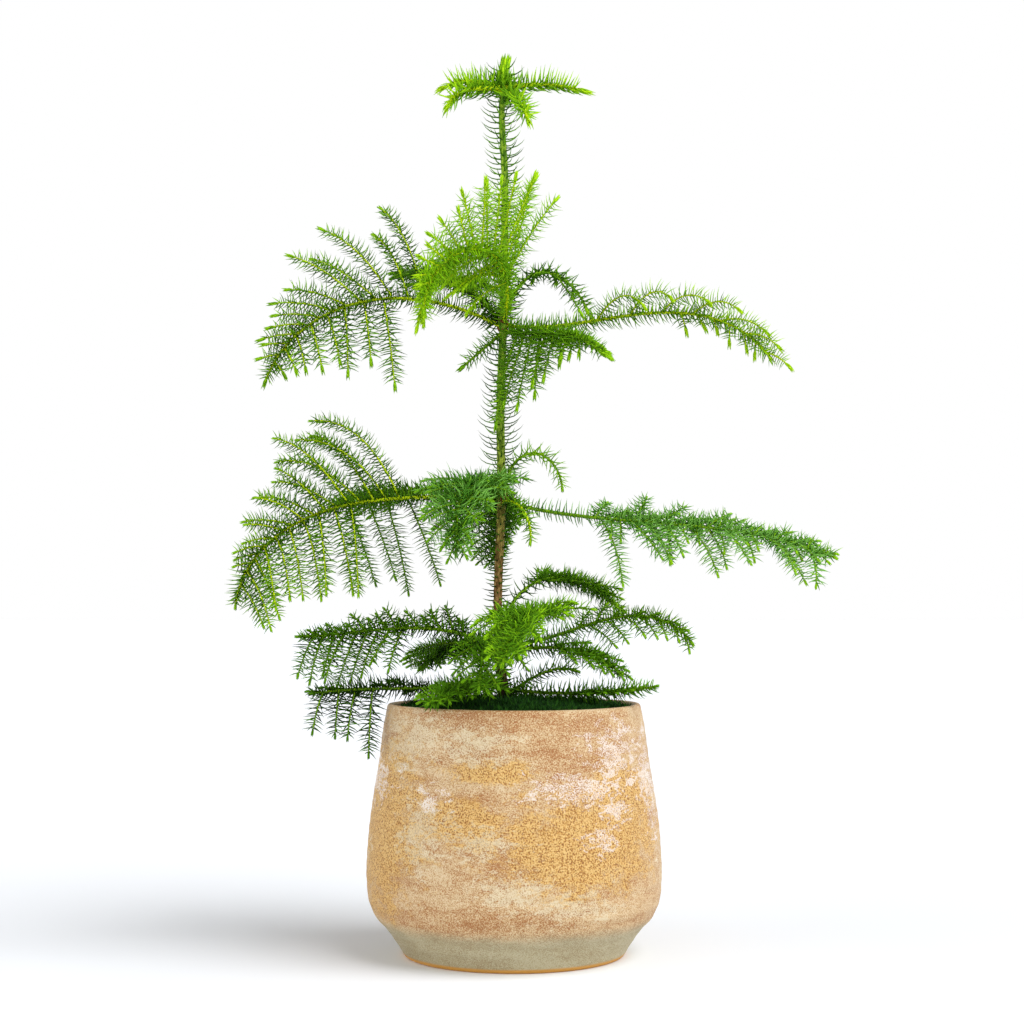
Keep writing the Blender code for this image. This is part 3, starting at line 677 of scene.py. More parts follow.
@dataclass(frozen=True)
class GlazeFinish(Finish):
    """A sandy stoneware glaze: fine rust speckle over cream, ochre where it is thick and granular, and pale
    lilac flecks that are partly white glaze and partly a painted highlight on the upper right.

    Each table of patches holds their places round the wall from the viewer's side, their heights, half widths
    and half heights in millimetres. A weight is how far a noise or a table moves the speckle, and a cover how
    far a patch hides it. The bare foot's edge and the ring it stands on are at heights in metres.
    """

    rust: Colour = (0.340, 0.135, 0.040)
    sand: Colour = (0.520, 0.320, 0.140)
    cream: Colour = (0.670, 0.520, 0.320)
    umber: Colour = (0.270, 0.090, 0.012)
    ochre: Colour = (0.600, 0.300, 0.054)
    honey: Colour = (0.780, 0.520, 0.190)
    lilac_and_highlight: Colour = (0.800, 0.740, 0.720)
    celadon: Colour = (0.740, 0.670, 0.470)
    stone: Colour = (0.300, 0.260, 0.145)
    base: Colour = (0.440, 0.420, 0.280)
    radius: float = 0.097
    cloud_weight: float = 0.46
    band_weight: float = 0.20
    rust_weight: float = 0.04
    ochre_cover: float = 0.90
    celadon_cover: float = 0.46
    lilac_and_highlight_cover: float = 0.66
    foot_cover: float = 0.80
    foot_line: tuple[float, float] = (0.038, 0.026)
    foot_wander: float = 0.014
    ring_line: tuple[float, float] = (0.0036, 0.0020)
    grain_relief: float = 0.0014
    band_relief: float = 0.0006
    specular: float = 0.35
    coat: float = 0.08
    coat_roughness: float = 0.30

    GRAIN = Grain(1000.0, 2.0, 0.6)
    FLECK = Grain(1350.0, 2.0, 0.6)
    CLOUD = Grain(38.0, 7.0, 0.72, 0.2, (1.0, 1.0, 1.7))
    FRAY = Grain(60.0, 9.0, 0.82, 0.3, (1.0, 1.0, 1.5))
    CHIPS = Grain(120.0, 5.0, 0.7, 0.6, (1.0, 1.0, 1.9))
    BANDS = Grain(150.0, 3.0, 0.5, 0.0, (0.10, 0.10, 1.0))

    OCHRE = (
        (52.0, 84.0, 60.0, 28.0),
        (-34.0, 98.0, 32.0, 14.0),
        (-20.0, 129.0, 28.0, 7.0),
        (-112.0, 92.0, 44.0, 52.0),
        (86.0, 112.0, 30.0, 20.0),
        (190.0, 84.0, 52.0, 26.0),
        (-210.0, 110.0, 60.0, 18.0),
    )
    RUST = (
        (-46.0, 36.0, 60.0, 8.0),
        (0.0, 161.0, 66.0, 7.0),
        (-20.0, 104.0, 18.0, 12.0),
        (30.0, 138.0, 24.0, 20.0),
        (-10.0, 76.0, 24.0, 16.0),
        (-88.0, 62.0, 26.0, 12.0),
        (160.0, 36.0, 60.0, 9.0),
        (-200.0, 60.0, 40.0, 16.0),
    )
    CELADON = (
        (-64.0, 93.0, 13.0, 17.0),
        (-22.0, 84.0, 15.0, 7.0),
        (-4.0, 55.0, 15.0, 8.0),
        (-84.0, 148.0, 24.0, 14.0),
        (-30.0, 146.0, 18.0, 8.0),
        (40.0, 44.0, 22.0, 6.0),
        (150.0, 62.0, 18.0, 11.0),
        (-160.0, 80.0, 22.0, 12.0),
        (250.0, 130.0, 26.0, 12.0),
    )
    # Pale lilac flecks: partly white glaze, partly a painted highlight, thickest on the upper right where the
    # key lamp shines.
    LILAC_AND_HIGHLIGHT = (
        (46.0, 117.0, 26.0, 6.0),
        (74.0, 102.0, 9.0, 5.0),
        (60.0, 86.0, 8.0, 6.0),
        (76.0, 140.0, 18.0, 13.0),
        (120.0, 118.0, 13.0, 20.0),
        (-58.0, 112.0, 9.0, 5.0),
        (-130.0, 120.0, 20.0, 9.0),
        (190.0, 118.0, 26.0, 8.0),
    )

    def paint(self, board: Board) -> None:
        """The glaze, with its colour, gloss and relief driven by the same grains.

        Args:
            board: The material's nodes.
        """
        _, _, height = board.axes()
        flat = board.unrolled(self.radius)
        grain = board.noise(self.GRAIN)
        cloud = board.noise(self.CLOUD)
        fray = board.noise(self.FRAY)
        chips = board.window(board.noise(self.CHIPS), 0.2, 0.8)
        bands = board.noise(self.BANDS)

        mottle = board.math("ADD", board.noise(self.FLECK), board.swing(cloud, self.cloud_weight))
        mottle = board.math("ADD", mottle, board.swing(bands, self.band_weight))
        rusty = board.math("MULTIPLY", board.patches(flat, fray, self.RUST), self.rust_weight)
        mottle = board.math("SUBTRACT", mottle, rusty)
        colour = board.ramp(mottle, ((0.37, self.rust), (0.47, self.sand), (0.60, self.cream)))

        warm = board.ramp(grain, ((0.39, self.umber), (0.46, self.ochre), (0.56, self.honey)))
        thick = board.patches(flat, fray, self.OCHRE)
        colour = board.cover(colour, thick, self.ochre_cover, warm)

        pale = board.patches(flat, chips, self.CELADON)
        pale = board.math("MULTIPLY", pale, board.window(mottle, 0.34, 0.46))
        colour = board.cover(colour, pale, self.celadon_cover, self.celadon)
        # Painted highlight in part: the pale flecks are white glaze, and their cluster on the upper right
        # stands in for a highlight.
        white_fleck_and_highlight = board.patches(flat, chips, self.LILAC_AND_HIGHLIGHT)
        white_fleck_and_highlight = board.math("MULTIPLY", white_fleck_and_highlight, board.window(mottle, 0.41, 0.53))
        colour = board.cover(colour, white_fleck_and_highlight, self.lilac_and_highlight_cover, self.lilac_and_highlight)

        wandering = board.math("ADD", height, board.math("MULTIPLY", cloud, self.foot_wander))
        stone = board.ramp(mottle, ((0.36, self.stone), (0.60, self.base)))
        colour = board.cover(colour, board.window(wandering, *self.foot_line), self.foot_cover, stone)
        colour = board.mix(board.window(height, *self.ring_line), colour, self.ochre)
        board.feed("Base Color", colour)

        board.feed("Roughness", board.window(white_fleck_and_highlight, 0.0, 1.0, 0.62, 0.34))
        board.set("Specular IOR Level", self.specular)
        board.set("Coat Weight", self.coat)
        board.set("Coat Roughness", self.coat_roughness)
        level = board.math("SUBTRACT", grain, 0.5)
        level = board.math("MULTIPLY", level, board.window(thick, 0.0, 1.0, 0.45, 1.0))
        level = board.math("MULTIPLY", level, board.window(white_fleck_and_highlight, 0.0, 1.0, 1.0, 0.3))
        board.feed("Normal", board.bump(level, self.grain_relief, board.bump(bands, self.band_relief)))


@dataclass(frozen=True)
class FloorFinish(Finish):
    """The pale studio floor."""

    colour: Colour = (0.885, 0.905, 0.940)
    roughness: float = 0.95

    def paint(self, board: Board) -> None:
        """A matt white, slightly cool.

        Args:
            board: The material's nodes.
        """
        board.set("Base Color", self.colour)
        board.set("Roughness", self.roughness)
        board.set("Specular IOR Level", 0.0)


def unit(vectors: np.ndarray) -> np.ndarray:
    """Each row of an array at length one."""
    return vectors / np.maximum(np.linalg.norm(vectors, axis=-1, keepdims=True), TINY)


def seeded(text: str) -> np.random.Generator:
    """A random generator that is the same each run for the same text."""
    return np.random.default_rng(zlib.crc32(text.encode()))


def circle(count: int) -> np.ndarray:
    """Even angles round a circle, in radians from 0."""
    return 2.0 * math.pi * np.arange(count) / count


def ring_quads(rings: int, sides: int) -> np.ndarray:
    """The faces between rings whose corners are numbered ring by ring.

    Args:
        rings: How many rings.
        sides: Corners of a ring.

    Returns:
        Rows of four corner numbers.
    """
    side = np.arange(sides)
    following = (side + 1) % sides
    ring = np.arange(rings - 1)[:, None] * sides
    quads = np.stack([ring + side, ring + following, ring + sides + following, ring + sides + side], axis=2)
    return quads.reshape(-1, 4)


def fan(first: int, sides: int, pole: int) -> np.ndarray:
    """The faces from one ring to a single corner.

    Args:
        first: The number of the ring's first corner.
        sides: Corners of the ring.
        pole: The number of the single corner.

    Returns:
        Rows of three corner numbers.
    """
    side = np.arange(sides)
    return np.stack([first + side, first + (side + 1) % sides, np.full(sides, pole)], axis=1)


class Joined:
    """Faces gathered from many shapes and joined into one mesh."""

    def __init__(self) -> None:
        """Start with nothing."""
        self.points: list[np.ndarray] = []
        self.quads: list[np.ndarray] = []
        self.triangles: list[np.ndarray] = []
        self.count = 0

    def add(self, points: np.ndarray, quads: np.ndarray, triangles: np.ndarray) -> None:
        """Take in one shape.

        Args:
            points: Its corners in millimetres, one row each.
            quads: Its four-sided faces, as rows of corner numbers.
            triangles: Its three-sided faces.
        """
        self.points.append(points)
        self.quads.append(quads.reshape(-1, 4) + self.count)
        self.triangles.append(triangles.reshape(-1, 3) + self.count)
        self.count += len(points)

    def weight(self) -> int:
        """The number of triangles that the faces make."""
        return 2 * sum(len(faces) for faces in self.quads) + sum(len(faces) for faces in self.triangles)

    def build(self, name: str, material: bpy.types.Material) -> bpy.types.Object:
        """Make the object.

        Args:
            name: The piece's name.
            material: Its finish.

        Returns:
            A smooth-shaded object with its mesh in metres.
        """
        points = np.concatenate(self.points) * MM
        quads = np.concatenate(self.quads)
        triangles = np.concatenate(self.triangles)
        mesh = bpy.data.meshes.new(name)
        mesh.vertices.add(len(points))
        mesh.vertices.foreach_set("co", points.astype(np.float32).ravel())
        corners = np.concatenate([quads.ravel(), triangles.ravel()]).astype(np.int32)
        starts = np.concatenate([np.arange(len(quads)) * 4, quads.size + np.arange(len(triangles)) * 3])
        mesh.loops.add(len(corners))
        mesh.loops.foreach_set("vertex_index", corners)
        mesh.polygons.add(len(starts))
        mesh.polygons.foreach_set("loop_start", starts.astype(np.int32))
        mesh.update(calc_edges=True)
        mesh.validate()
        mesh.shade_smooth()
        mesh.materials.append(material)
        made = bpy.data.objects.new(name, mesh)
        bpy.context.scene.collection.objects.link(made)
        return made


def settle(piece: bpy.types.Object, nodes: list[str]) -> None:
    """Put a finished piece in the frame and report it.

    Args:
        piece: The object.
        nodes: The solids that it stands for.
    """
    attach(piece, BODY)
    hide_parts(*nodes)
    triangles = sum(len(face.vertices) - 2 for face in piece.data.polygons)
    LOG.info("%s: %d triangles", piece.name, triangles)


class Route:
    """A line through space that can be read at any distance, with a frame that turns as little as it can."""

    def __init__(self, points: np.ndarray, across: np.ndarray) -> None:
        """Measure the line.

        Args:
            points: Its corners in millimetres.
            across: A direction to start the frame from.
        """
        self.points = points
        steps = np.diff(points, axis=0)
        self.marks = np.concatenate([[0.0], np.cumsum(np.linalg.norm(steps, axis=1))])
        self.length = float(self.marks[-1])
        tangents = np.empty_like(points)
        tangents[1:-1] = points[2:] - points[:-2]
        tangents[0] = steps[0]
        tangents[-1] = steps[-1]
        self.ahead = unit(tangents)
        sideways = np.empty_like(points)
        current = across
        for index, tangent in enumerate(self.ahead):
            current = current - tangent * float(np.dot(current, tangent))
            current = current / max(float(np.linalg.norm(current)), TINY)
            sideways[index] = current
        self.sideways = sideways

    def read(self, marks: np.ndarray) -> tuple[np.ndarray, np.ndarray, np.ndarray, np.ndarray]:
        """The line at some distances along it.

        Args:
            marks: Distances in millimetres.

        Returns:
            Places, and the directions ahead, across and up there, one row each.
        """
        places = self._blend(self.points, marks)
        ahead = unit(self._blend(self.ahead, marks))
        across = self._blend(self.sideways, marks)
        across = unit(across - ahead * np.sum(across * ahead, axis=1, keepdims=True))
        return places, ahead, across, np.cross(ahead, across)

    def _blend(self, values: np.ndarray, marks: np.ndarray) -> np.ndarray:
        """Read one table of rows at some distances."""
        return np.stack([np.interp(marks, self.marks, values[:, axis]) for axis in range(3)], axis=1)


def tube(route: Route, marks: np.ndarray, radii: np.ndarray, tip: float) -> tuple[np.ndarray, ...]:
    """The skin of a limb along a route, closed by a fan at its foot and a point at its tip.

    Args:
        route: The limb's middle.
        marks: The distances of its rings.
        radii: The radius of each corner, one row for each ring.
        tip: How far the point stands beyond the last ring.

    Returns:
        Points, quads and triangles.
    """
    rings, sides = radii.shape
    places, ahead, across, up = route.read(marks)
    turn = circle(sides)
    out = across[:, None, :] * np.cos(turn)[None, :, None] + up[:, None, :] * np.sin(turn)[None, :, None]
    skin = (places[:, None, :] + out * radii[:, :, None]).reshape(-1, 3)
    points = np.concatenate([skin, places[:1] - ahead[:1] * FOOT, places[-1:] + ahead[-1:] * tip])
    count = rings * sides
    foot = fan(0, sides, count)[:, ::-1]
    top = fan(count - sides, sides, count + 1)
    return points, ring_quads(rings, sides), np.concatenate([foot, top])


@dataclass(frozen=True)
class Cushions:
    """Leaf cushions, or the scars of old ones, raised where two sets of spirals cross.

    rows is how many stand round a limb, pitch how far apart they are along it and depth how far they stand
    out, as a share of the radius.
    """

    rows: int
    pitch: float
    depth: float

    def raised(self, radii: np.ndarray, marks: np.ndarray, sides: int) -> np.ndarray:
        """The radius at every corner of a limb's rings.

        Args:
            radii: The radius of each ring.
            marks: The distances of the rings.
            sides: Corners of a ring.

        Returns:
            One row for each ring.
        """
        turn = self.rows * circle(sides)
        phase = 2.0 * math.pi * marks[:, None] / self.pitch
        swell = (0.5 + 0.5 * np.cos(turn + phase)) * (0.5 + 0.5 * np.cos(turn - phase))
        return radii[:, None] * (1.0 + self.depth * (swell - 0.25))


@dataclass(frozen=True)
class NeedleShape:
    """The size and bend of one kind of needle.

    first and last are its angles from straight out towards the shoot's tip, at its root and its point.
    close is how much nearer to the shoot the newest ones lie, lift how far a needle turns up to the light,
    and press how far one that faces down is laid along the shoot. A full needle keeps its width for longer.
    """

    length: float = 9.6
    half_width: float = 0.42
    first: float = 6.0
    last: float = 26.0
    close: float = 24.0
    lift: float = 0.0
    press: float = 0.0
    fullness: float = 2.0
    segments: int = 2

    SHORTENS = 0.004


@dataclass
class NeedleBed:
    """The needles of one piece, kept as rows until they are all known."""

    rows: dict[int, list[np.ndarray]] = field(default_factory=dict)

    SINK = 0.35
    KEEL = 0.8
    FLAT = 0.4

    def add(self, roots: np.ndarray, outs: np.ndarray, aheads: np.ndarray, sizes: np.ndarray,
            segments: int) -> None:
        """Take in the needles of one stretch of a shoot.

        Args:
            roots: Where they leave the bark, one row each.
            outs: The directions straight out of the bark.
            aheads: The directions of the shoot's tip.
            sizes: Their lengths, half widths, first and last angles, lifts and fullnesses.
            segments: Stretches along each needle.
        """
        if len(roots):
            self.rows.setdefault(segments, []).append(np.concatenate([roots, outs, aheads, sizes], axis=1))

    def meshes(self) -> list[Joined]:
        """Skin every needle: three long faces, closed at the root and drawn to a point.

        Returns:
            The meshes, each under the limit of triangles.
        """
        whole: list[Joined] = []
        for segments, rows in self.rows.items():
            points = self._corners(np.concatenate(rows), segments)
            quads, triangles = self._faces(segments)
            each = 2 * len(quads) + len(triangles)
            start = 0
            while start < len(points):
                if not whole or whole[-1].weight() + each > PIECE_LIMIT:
                    whole.append(Joined())
                room = (PIECE_LIMIT - whole[-1].weight()) // each
                part = points[start:start + room]
                offsets = (np.arange(len(part)) * part.shape[1])[:, None, None]
                whole[-1].add(part.reshape(-1, 3), (quads + offsets).reshape(-1, 4),
                              (triangles + offsets).reshape(-1, 3))
                start += room
        return whole

    def _corners(self, rows: np.ndarray, segments: int) -> np.ndarray:
        """The corners of every needle: three at each station, then its point.

        Args:
            rows: The needles, as they were taken in.
            segments: Stretches along each needle.

        Returns:
            Corners by needle.
        """
        roots, outs, aheads, sizes = rows[:, 0:3], rows[:, 3:6], rows[:, 6:9], rows[:, 9:]
        sides = unit(np.cross(aheads, outs))
        places = roots - outs * self.SINK
        corners = []
        for station in range(segments):
            share = station / segments
            back = np.cross(self._heading(outs, aheads, sizes, share), sides)
            width = (sizes[:, 1] * (1.0 - share ** sizes[:, 5]))[:, None]
            corners.append(places + back * width * self.KEEL)
            corners.append(places - back * width * self.FLAT + sides * width)
            corners.append(places - back * width * self.FLAT - sides * width)
            way = self._heading(outs, aheads, sizes, share + 0.5 / segments)
            places = places + way * (sizes[:, 0] / segments)[:, None]
        corners.append(places)
        return np.stack(corners, axis=1)

    def _heading(self, outs: np.ndarray, aheads: np.ndarray, sizes: np.ndarray, share: float) -> np.ndarray:
        """The way every needle points at a share of its length.

        Args:
            outs: The directions straight out of the bark.
            aheads: The directions of the shoot's tip.
            sizes: Their sizes.
            share: 0 at the root and 1 at the point.

        Returns:
            Unit vectors, one row each.
        """
        angle = (sizes[:, 2] + (sizes[:, 3] - sizes[:, 2]) * share)[:, None]
        bent = outs * np.cos(angle) + aheads * np.sin(angle)
        bent[:, 2] += sizes[:, 4] * share
        return unit(bent)

    def _faces(self, segments: int) -> tuple[np.ndarray, np.ndarray]:
        """One needle's quads and triangles.

        Args:
            segments: Stretches along the needle.

        Returns:
            Rows of four corner numbers and rows of three.
        """
        quads = []
        for station in range(segments - 1):
            low = station * 3
            quads += [(low + first, low + second, low + 3 + second, low + 3 + first)
                      for first, second in ((0, 1), (1, 2), (2, 0))]
        last = (segments - 1) * 3
        triangles = [(2, 1, 0)]
        triangles += [(last + first, last + second, last + 3) for first, second in ((0, 1), (1, 2), (2, 0))]
        return np.array(quads).reshape(-1, 4), np.array(triangles)


def sizes_of(shape: NeedleShape, outs: np.ndarray, shares: np.ndarray, spread: np.ndarray) -> np.ndarray:
    """The size of each needle along a shoot.

    Args:
        shape: Their kind.
        outs: The directions straight out of the bark.
        shares: Where they stand, 0 at the shoot's foot and 1 at its tip.
        spread: A factor on each length.

    Returns:
        Rows of length, half width, first and last angle, lift and fullness.
    """
    down = np.clip(-outs[:, 2], 0.0, 1.0)
    turn = np.radians(shape.close * np.clip(shares, 0.0, 1.0) ** 3 + shape.press * down)
    count = len(outs)
    return np.stack([
        shape.length * spread * (1.0 - shape.SHORTENS * shape.press * down),
        np.full(count, shape.half_width),
        math.radians(shape.first) + turn,
        math.radians(shape.last) + turn,
        np.full(count, shape.lift),
        np.full(count, shape.fullness),
    ], axis=1)


class Trunk:
    """The one slim trunk: its line and its bark.

    ROUTE holds heights, with the middle's X and Y and the radius there, and NODES the heights where whorls
    leave it and it swells. All are in millimetres.
    """

    ROUTE = (
        (154.3, -6.0, 0.0, 5.4),
        (160.0, -6.3, 0.0, 4.3),
        (170.0, -6.9, 0.0, 3.7),
        (209.0, -10.3, 0.0, 3.2),
        (240.0, -11.2, 0.0, 2.9),
        (308.0, -8.8, 0.0, 2.9),
        (370.0, -9.4, 0.0, 2.8),
        (430.0, -7.6, 0.0, 2.7),
        (527.0, -6.4, 0.0, 2.4),
        (575.0, -8.6, 0.0, 2.1),
        (598.0, -7.6, 0.0, 1.9),
        (608.0, -6.4, 0.0, 1.3),
    )
    CORNERS = 160
    NODES = (181.0, 208.0, 310.0, 429.0, 593.0)
    NODE_SWELL = 0.16
    NODE_REACH = 4.0
    RING_STEP = 0.8
    SIDES = 36
    SCARS = Cushions(8, 7.0, 0.11)
    TIP = 2.0

    def at(self, height: float) -> tuple[np.ndarray, float]:
        """The trunk at a height, by smooth curves through its table.

        Args:
            height: Height in millimetres.

        Returns:
            The middle and the radius.
        """
        table = self.ROUTE
        height = min(max(height, table[0][0]), table[-1][0])
        last = len(table) - 2
        index = max(0, min(last, sum(1 for row in table if row[0] <= height) - 1))
        before, low, high, after = (table[max(0, min(last + 1, index + step))] for step in (-1, 0, 1, 2))
        span = high[0] - low[0]
        share = (height - low[0]) / span
        square = share ** 2
        cube = share ** 3
        values = []
        for column in (1, 2, 3):
            slope_low = (high[column] - before[column]) / (high[0] - before[0]) * span
            slope_high = (after[column] - low[column]) / (after[0] - low[0]) * span
            value = (2 * cube - 3 * square + 1) * low[column] + (cube - 2 * square + share) * slope_low
            value += (3 * square - 2 * cube) * high[column] + (cube - square) * slope_high
            values.append(value)
        return np.array((values[0], values[1], height)), values[2]

    def line(self) -> Route:
        """The trunk's middle as a route."""
        heights = np.linspace(self.ROUTE[0][0], self.ROUTE[-1][0], self.CORNERS)
        return Route(np.array([self.at(height)[0] for height in heights]), np.array((0.0, -1.0, 0.0)))

    def bark(self) -> Joined:
        """The bark with its leaf scars and a swelling at each whorl.

        Returns:
            The joined mesh.
        """
        route = self.line()
        marks = np.arange(0.0, route.length, self.RING_STEP)
        places, _, _, _ = route.read(marks)
        radii = np.array([self.at(place[2])[1] for place in places])
        for node in self.NODES:
            swell = np.exp(-((places[:, 2] - node) / self.NODE_REACH) ** 2)
            radii = radii * (1.0 + self.NODE_SWELL * swell)
        joined = Joined()
        joined.add(*tube(route, marks, self.SCARS.raised(radii, marks, self.SIDES), self.TIP))
        return joined


@dataclass(frozen=True)
class Skin:
    """How a shoot's axis is skinned.

    step is the distance between rings and sides the corners of each. relief is how far the leaf cushions
    stand out and collar how much wider the foot is, each as a share of the radius.
    """

    step: float
    sides: int
    relief: float = 0.0
    collar: float = 0.0


@dataclass(frozen=True)
class Habit:
    """How one kind of shoot grows.

    first is the distance of its first needle and gap how far apart its needles stand. Its axis narrows from
    radius to tip_radius, flat is how round its spray is from above to below, and light makes its needles'
    tints brighter.
    """

    first: float
    gap: float
    shape: NeedleShape
    radius: float
    tip_radius: float
    flat: float = 0.5
    light: float = 0.0


@dataclass
class Shoot:
    """One axis with needles: a bough, a branchlet or a short shoot.

    thin is how far apart its needles stand, as a share of its habit's gap, light how much brighter its
    needles' tints are than its habit's and bud the size of its bud.
    """

    route: Route
    seed: str
    dress: Dress
    habit: Habit
    thin: float = 1.0
    light: float = 0.0
    bud: float = 1.0

    JITTER = 0.3
    LENGTHS = (0.78, 1.16)
    SHOOT_LENGTHS = (0.88, 1.08)
    YOUNG_REACH = 22.0
    YOUNG_LENGTH = 0.58
    YOUNG_GROWS = 0.42
    MOOD = 0.12
    ANY_TURN = 6.28
    TURN_SPREAD = 0.14
    # Painted light and shade: a needle's tint is brighter the nearer it stands to the tip and the more it
    # faces up, and darker at the shoot's foot and facing down; towards the tip this is also newer growth.
    TIP_LIGHT = 0.75
    SKY_LIGHT = 0.26
    LIGHT_SPREAD = 0.22
    CUSHION_ROWS = 3
    CUSHION_PITCH = 3.6
    COLLAR_REACH = 3.0
    TIP = 0.6
    BUD = 8.0
    BUD_END = 3.4
    BUD_NEEDLES = 13
    BUD_LENGTHS = (0.82, 1.0)
    BUD_LIGHT = 0.35
    BUD_SHAPE = NeedleShape(length=5.4, half_width=0.66, first=66.0, last=92.0, close=0.0, fullness=2.8)
    STEPS = (0.20, 0.58, 0.96)
    RUFFLE = 0.13

    def grow(self, beds: dict[Tint, NeedleBed]) -> None:
        """Deal the shoot's needles to the beds of their tints.

        Args:
            beds: The needles gathered so far, by tint.
        """
        draw = seeded(self.seed)
        mood = draw.uniform(-self.MOOD, self.MOOD) + (self.habit.light + self.light)
        end = self.BUD * self.bud
        stretch = self.route.length - self.habit.first - end
        count = max(0, int(stretch / (self.habit.gap * self.thin)))
        if count:
            jitter = draw.uniform(-self.JITTER, self.JITTER, count)
            marks = self.habit.first + stretch * (np.arange(count) + jitter + 0.5) / count
            shares = marks / self.route.length
            spread = draw.uniform(*self.LENGTHS, count) * draw.uniform(*self.SHOOT_LENGTHS)
            grown = np.clip((self.route.length - marks) / self.YOUNG_REACH, 0.0, 1.0)
            spread *= grown * self.YOUNG_GROWS + self.YOUNG_LENGTH
            self._set(beds, draw, marks, shares, spread, self.habit.shape, mood)
        count = self.BUD_NEEDLES
        marks = self.route.length - end + (end - self.BUD_END * self.bud) * np.arange(count) / (count - 1)
        marks = np.maximum(marks, 0.0)
        spread = draw.uniform(*self.BUD_LENGTHS, count) * self.bud
        self._set(beds, draw, marks, np.ones(count), spread, self.BUD_SHAPE, mood + self.BUD_LIGHT)

    def _set(self, beds: dict[Tint, NeedleBed], draw: np.random.Generator, marks: np.ndarray,
             shares: np.ndarray, spread: np.ndarray, shape: NeedleShape, mood: float) -> None:
        """Set needles at some distances, in the spiral of their cushions, and deal their tints: painted light
        on those that face up and near the tip, painted shade on those that face down and near the foot.

        Args:
            beds: The needles gathered so far, by tint.
            draw: What their differences are drawn from.
            marks: Their distances along the shoot.
            shares: How far along it they count as standing, 0 at its foot and 1 at its tip.
            spread: A factor on each length.
            shape: Their kind.
            mood: How bright their tints are as a whole.
        """
        count = len(marks)
        places, ahead, across, up = self.route.read(marks)
        turn = GOLDEN_ANGLE * np.arange(count) + draw.normal(0.0, self.TURN_SPREAD, count)
        turn = turn + draw.uniform(0.0, self.ANY_TURN)
        out = unit(across * np.cos(turn)[:, None] + up * (np.sin(turn) * self.habit.flat)[:, None])
        out = unit(out + draw.normal(0.0, self.RUFFLE, (count, 3)))
        radius = self._radii(np.clip(marks / self.route.length, 0.0, 1.0))
        # Painted light and shade: facing up and standing near the tip make a needle's tint brighter, facing
        # down and standing near the foot make it darker.
        light = mood + self.TIP_LIGHT * shares + self.SKY_LIGHT * out[:, 2]
        light = light + draw.normal(0.0, self.LIGHT_SPREAD, count)
        tints = np.digitize(light, self.STEPS)
        sizes = sizes_of(shape, out, shares, spread)
        roots = places + out * radius[:, None]
        for index, tint in enumerate(self.dress.tints()):
            mine = tints == index
            bed = beds.setdefault(tint, NeedleBed())
            bed.add(roots[mine], out[mine], ahead[mine], sizes[mine], shape.segments)

    def _radii(self, shares: np.ndarray) -> np.ndarray:
        """The axis's radius at some shares of its length."""
        return self.habit.radius + (self.habit.tip_radius - self.habit.radius) * shares

    def skin(self, joined: Joined, skin: Skin) -> None:
        """Skin the axis.

        Args:
            joined: The mesh that takes it in.
            skin: How finely, and with what relief.
        """
        end = self.route.length - self.BUD_END * self.bud
        marks = np.linspace(0.0, end, max(3, int(round(end / skin.step)) + 1))
        radii = self._radii(marks / end)
        radii = radii * (1.0 + skin.collar * np.exp(-((marks / self.COLLAR_REACH) ** 2)))
        cushions = Cushions(self.CUSHION_ROWS, self.CUSHION_PITCH, skin.relief)
        joined.add(*tube(self.route, marks, cushions.raised(radii, marks, skin.sides), self.TIP))


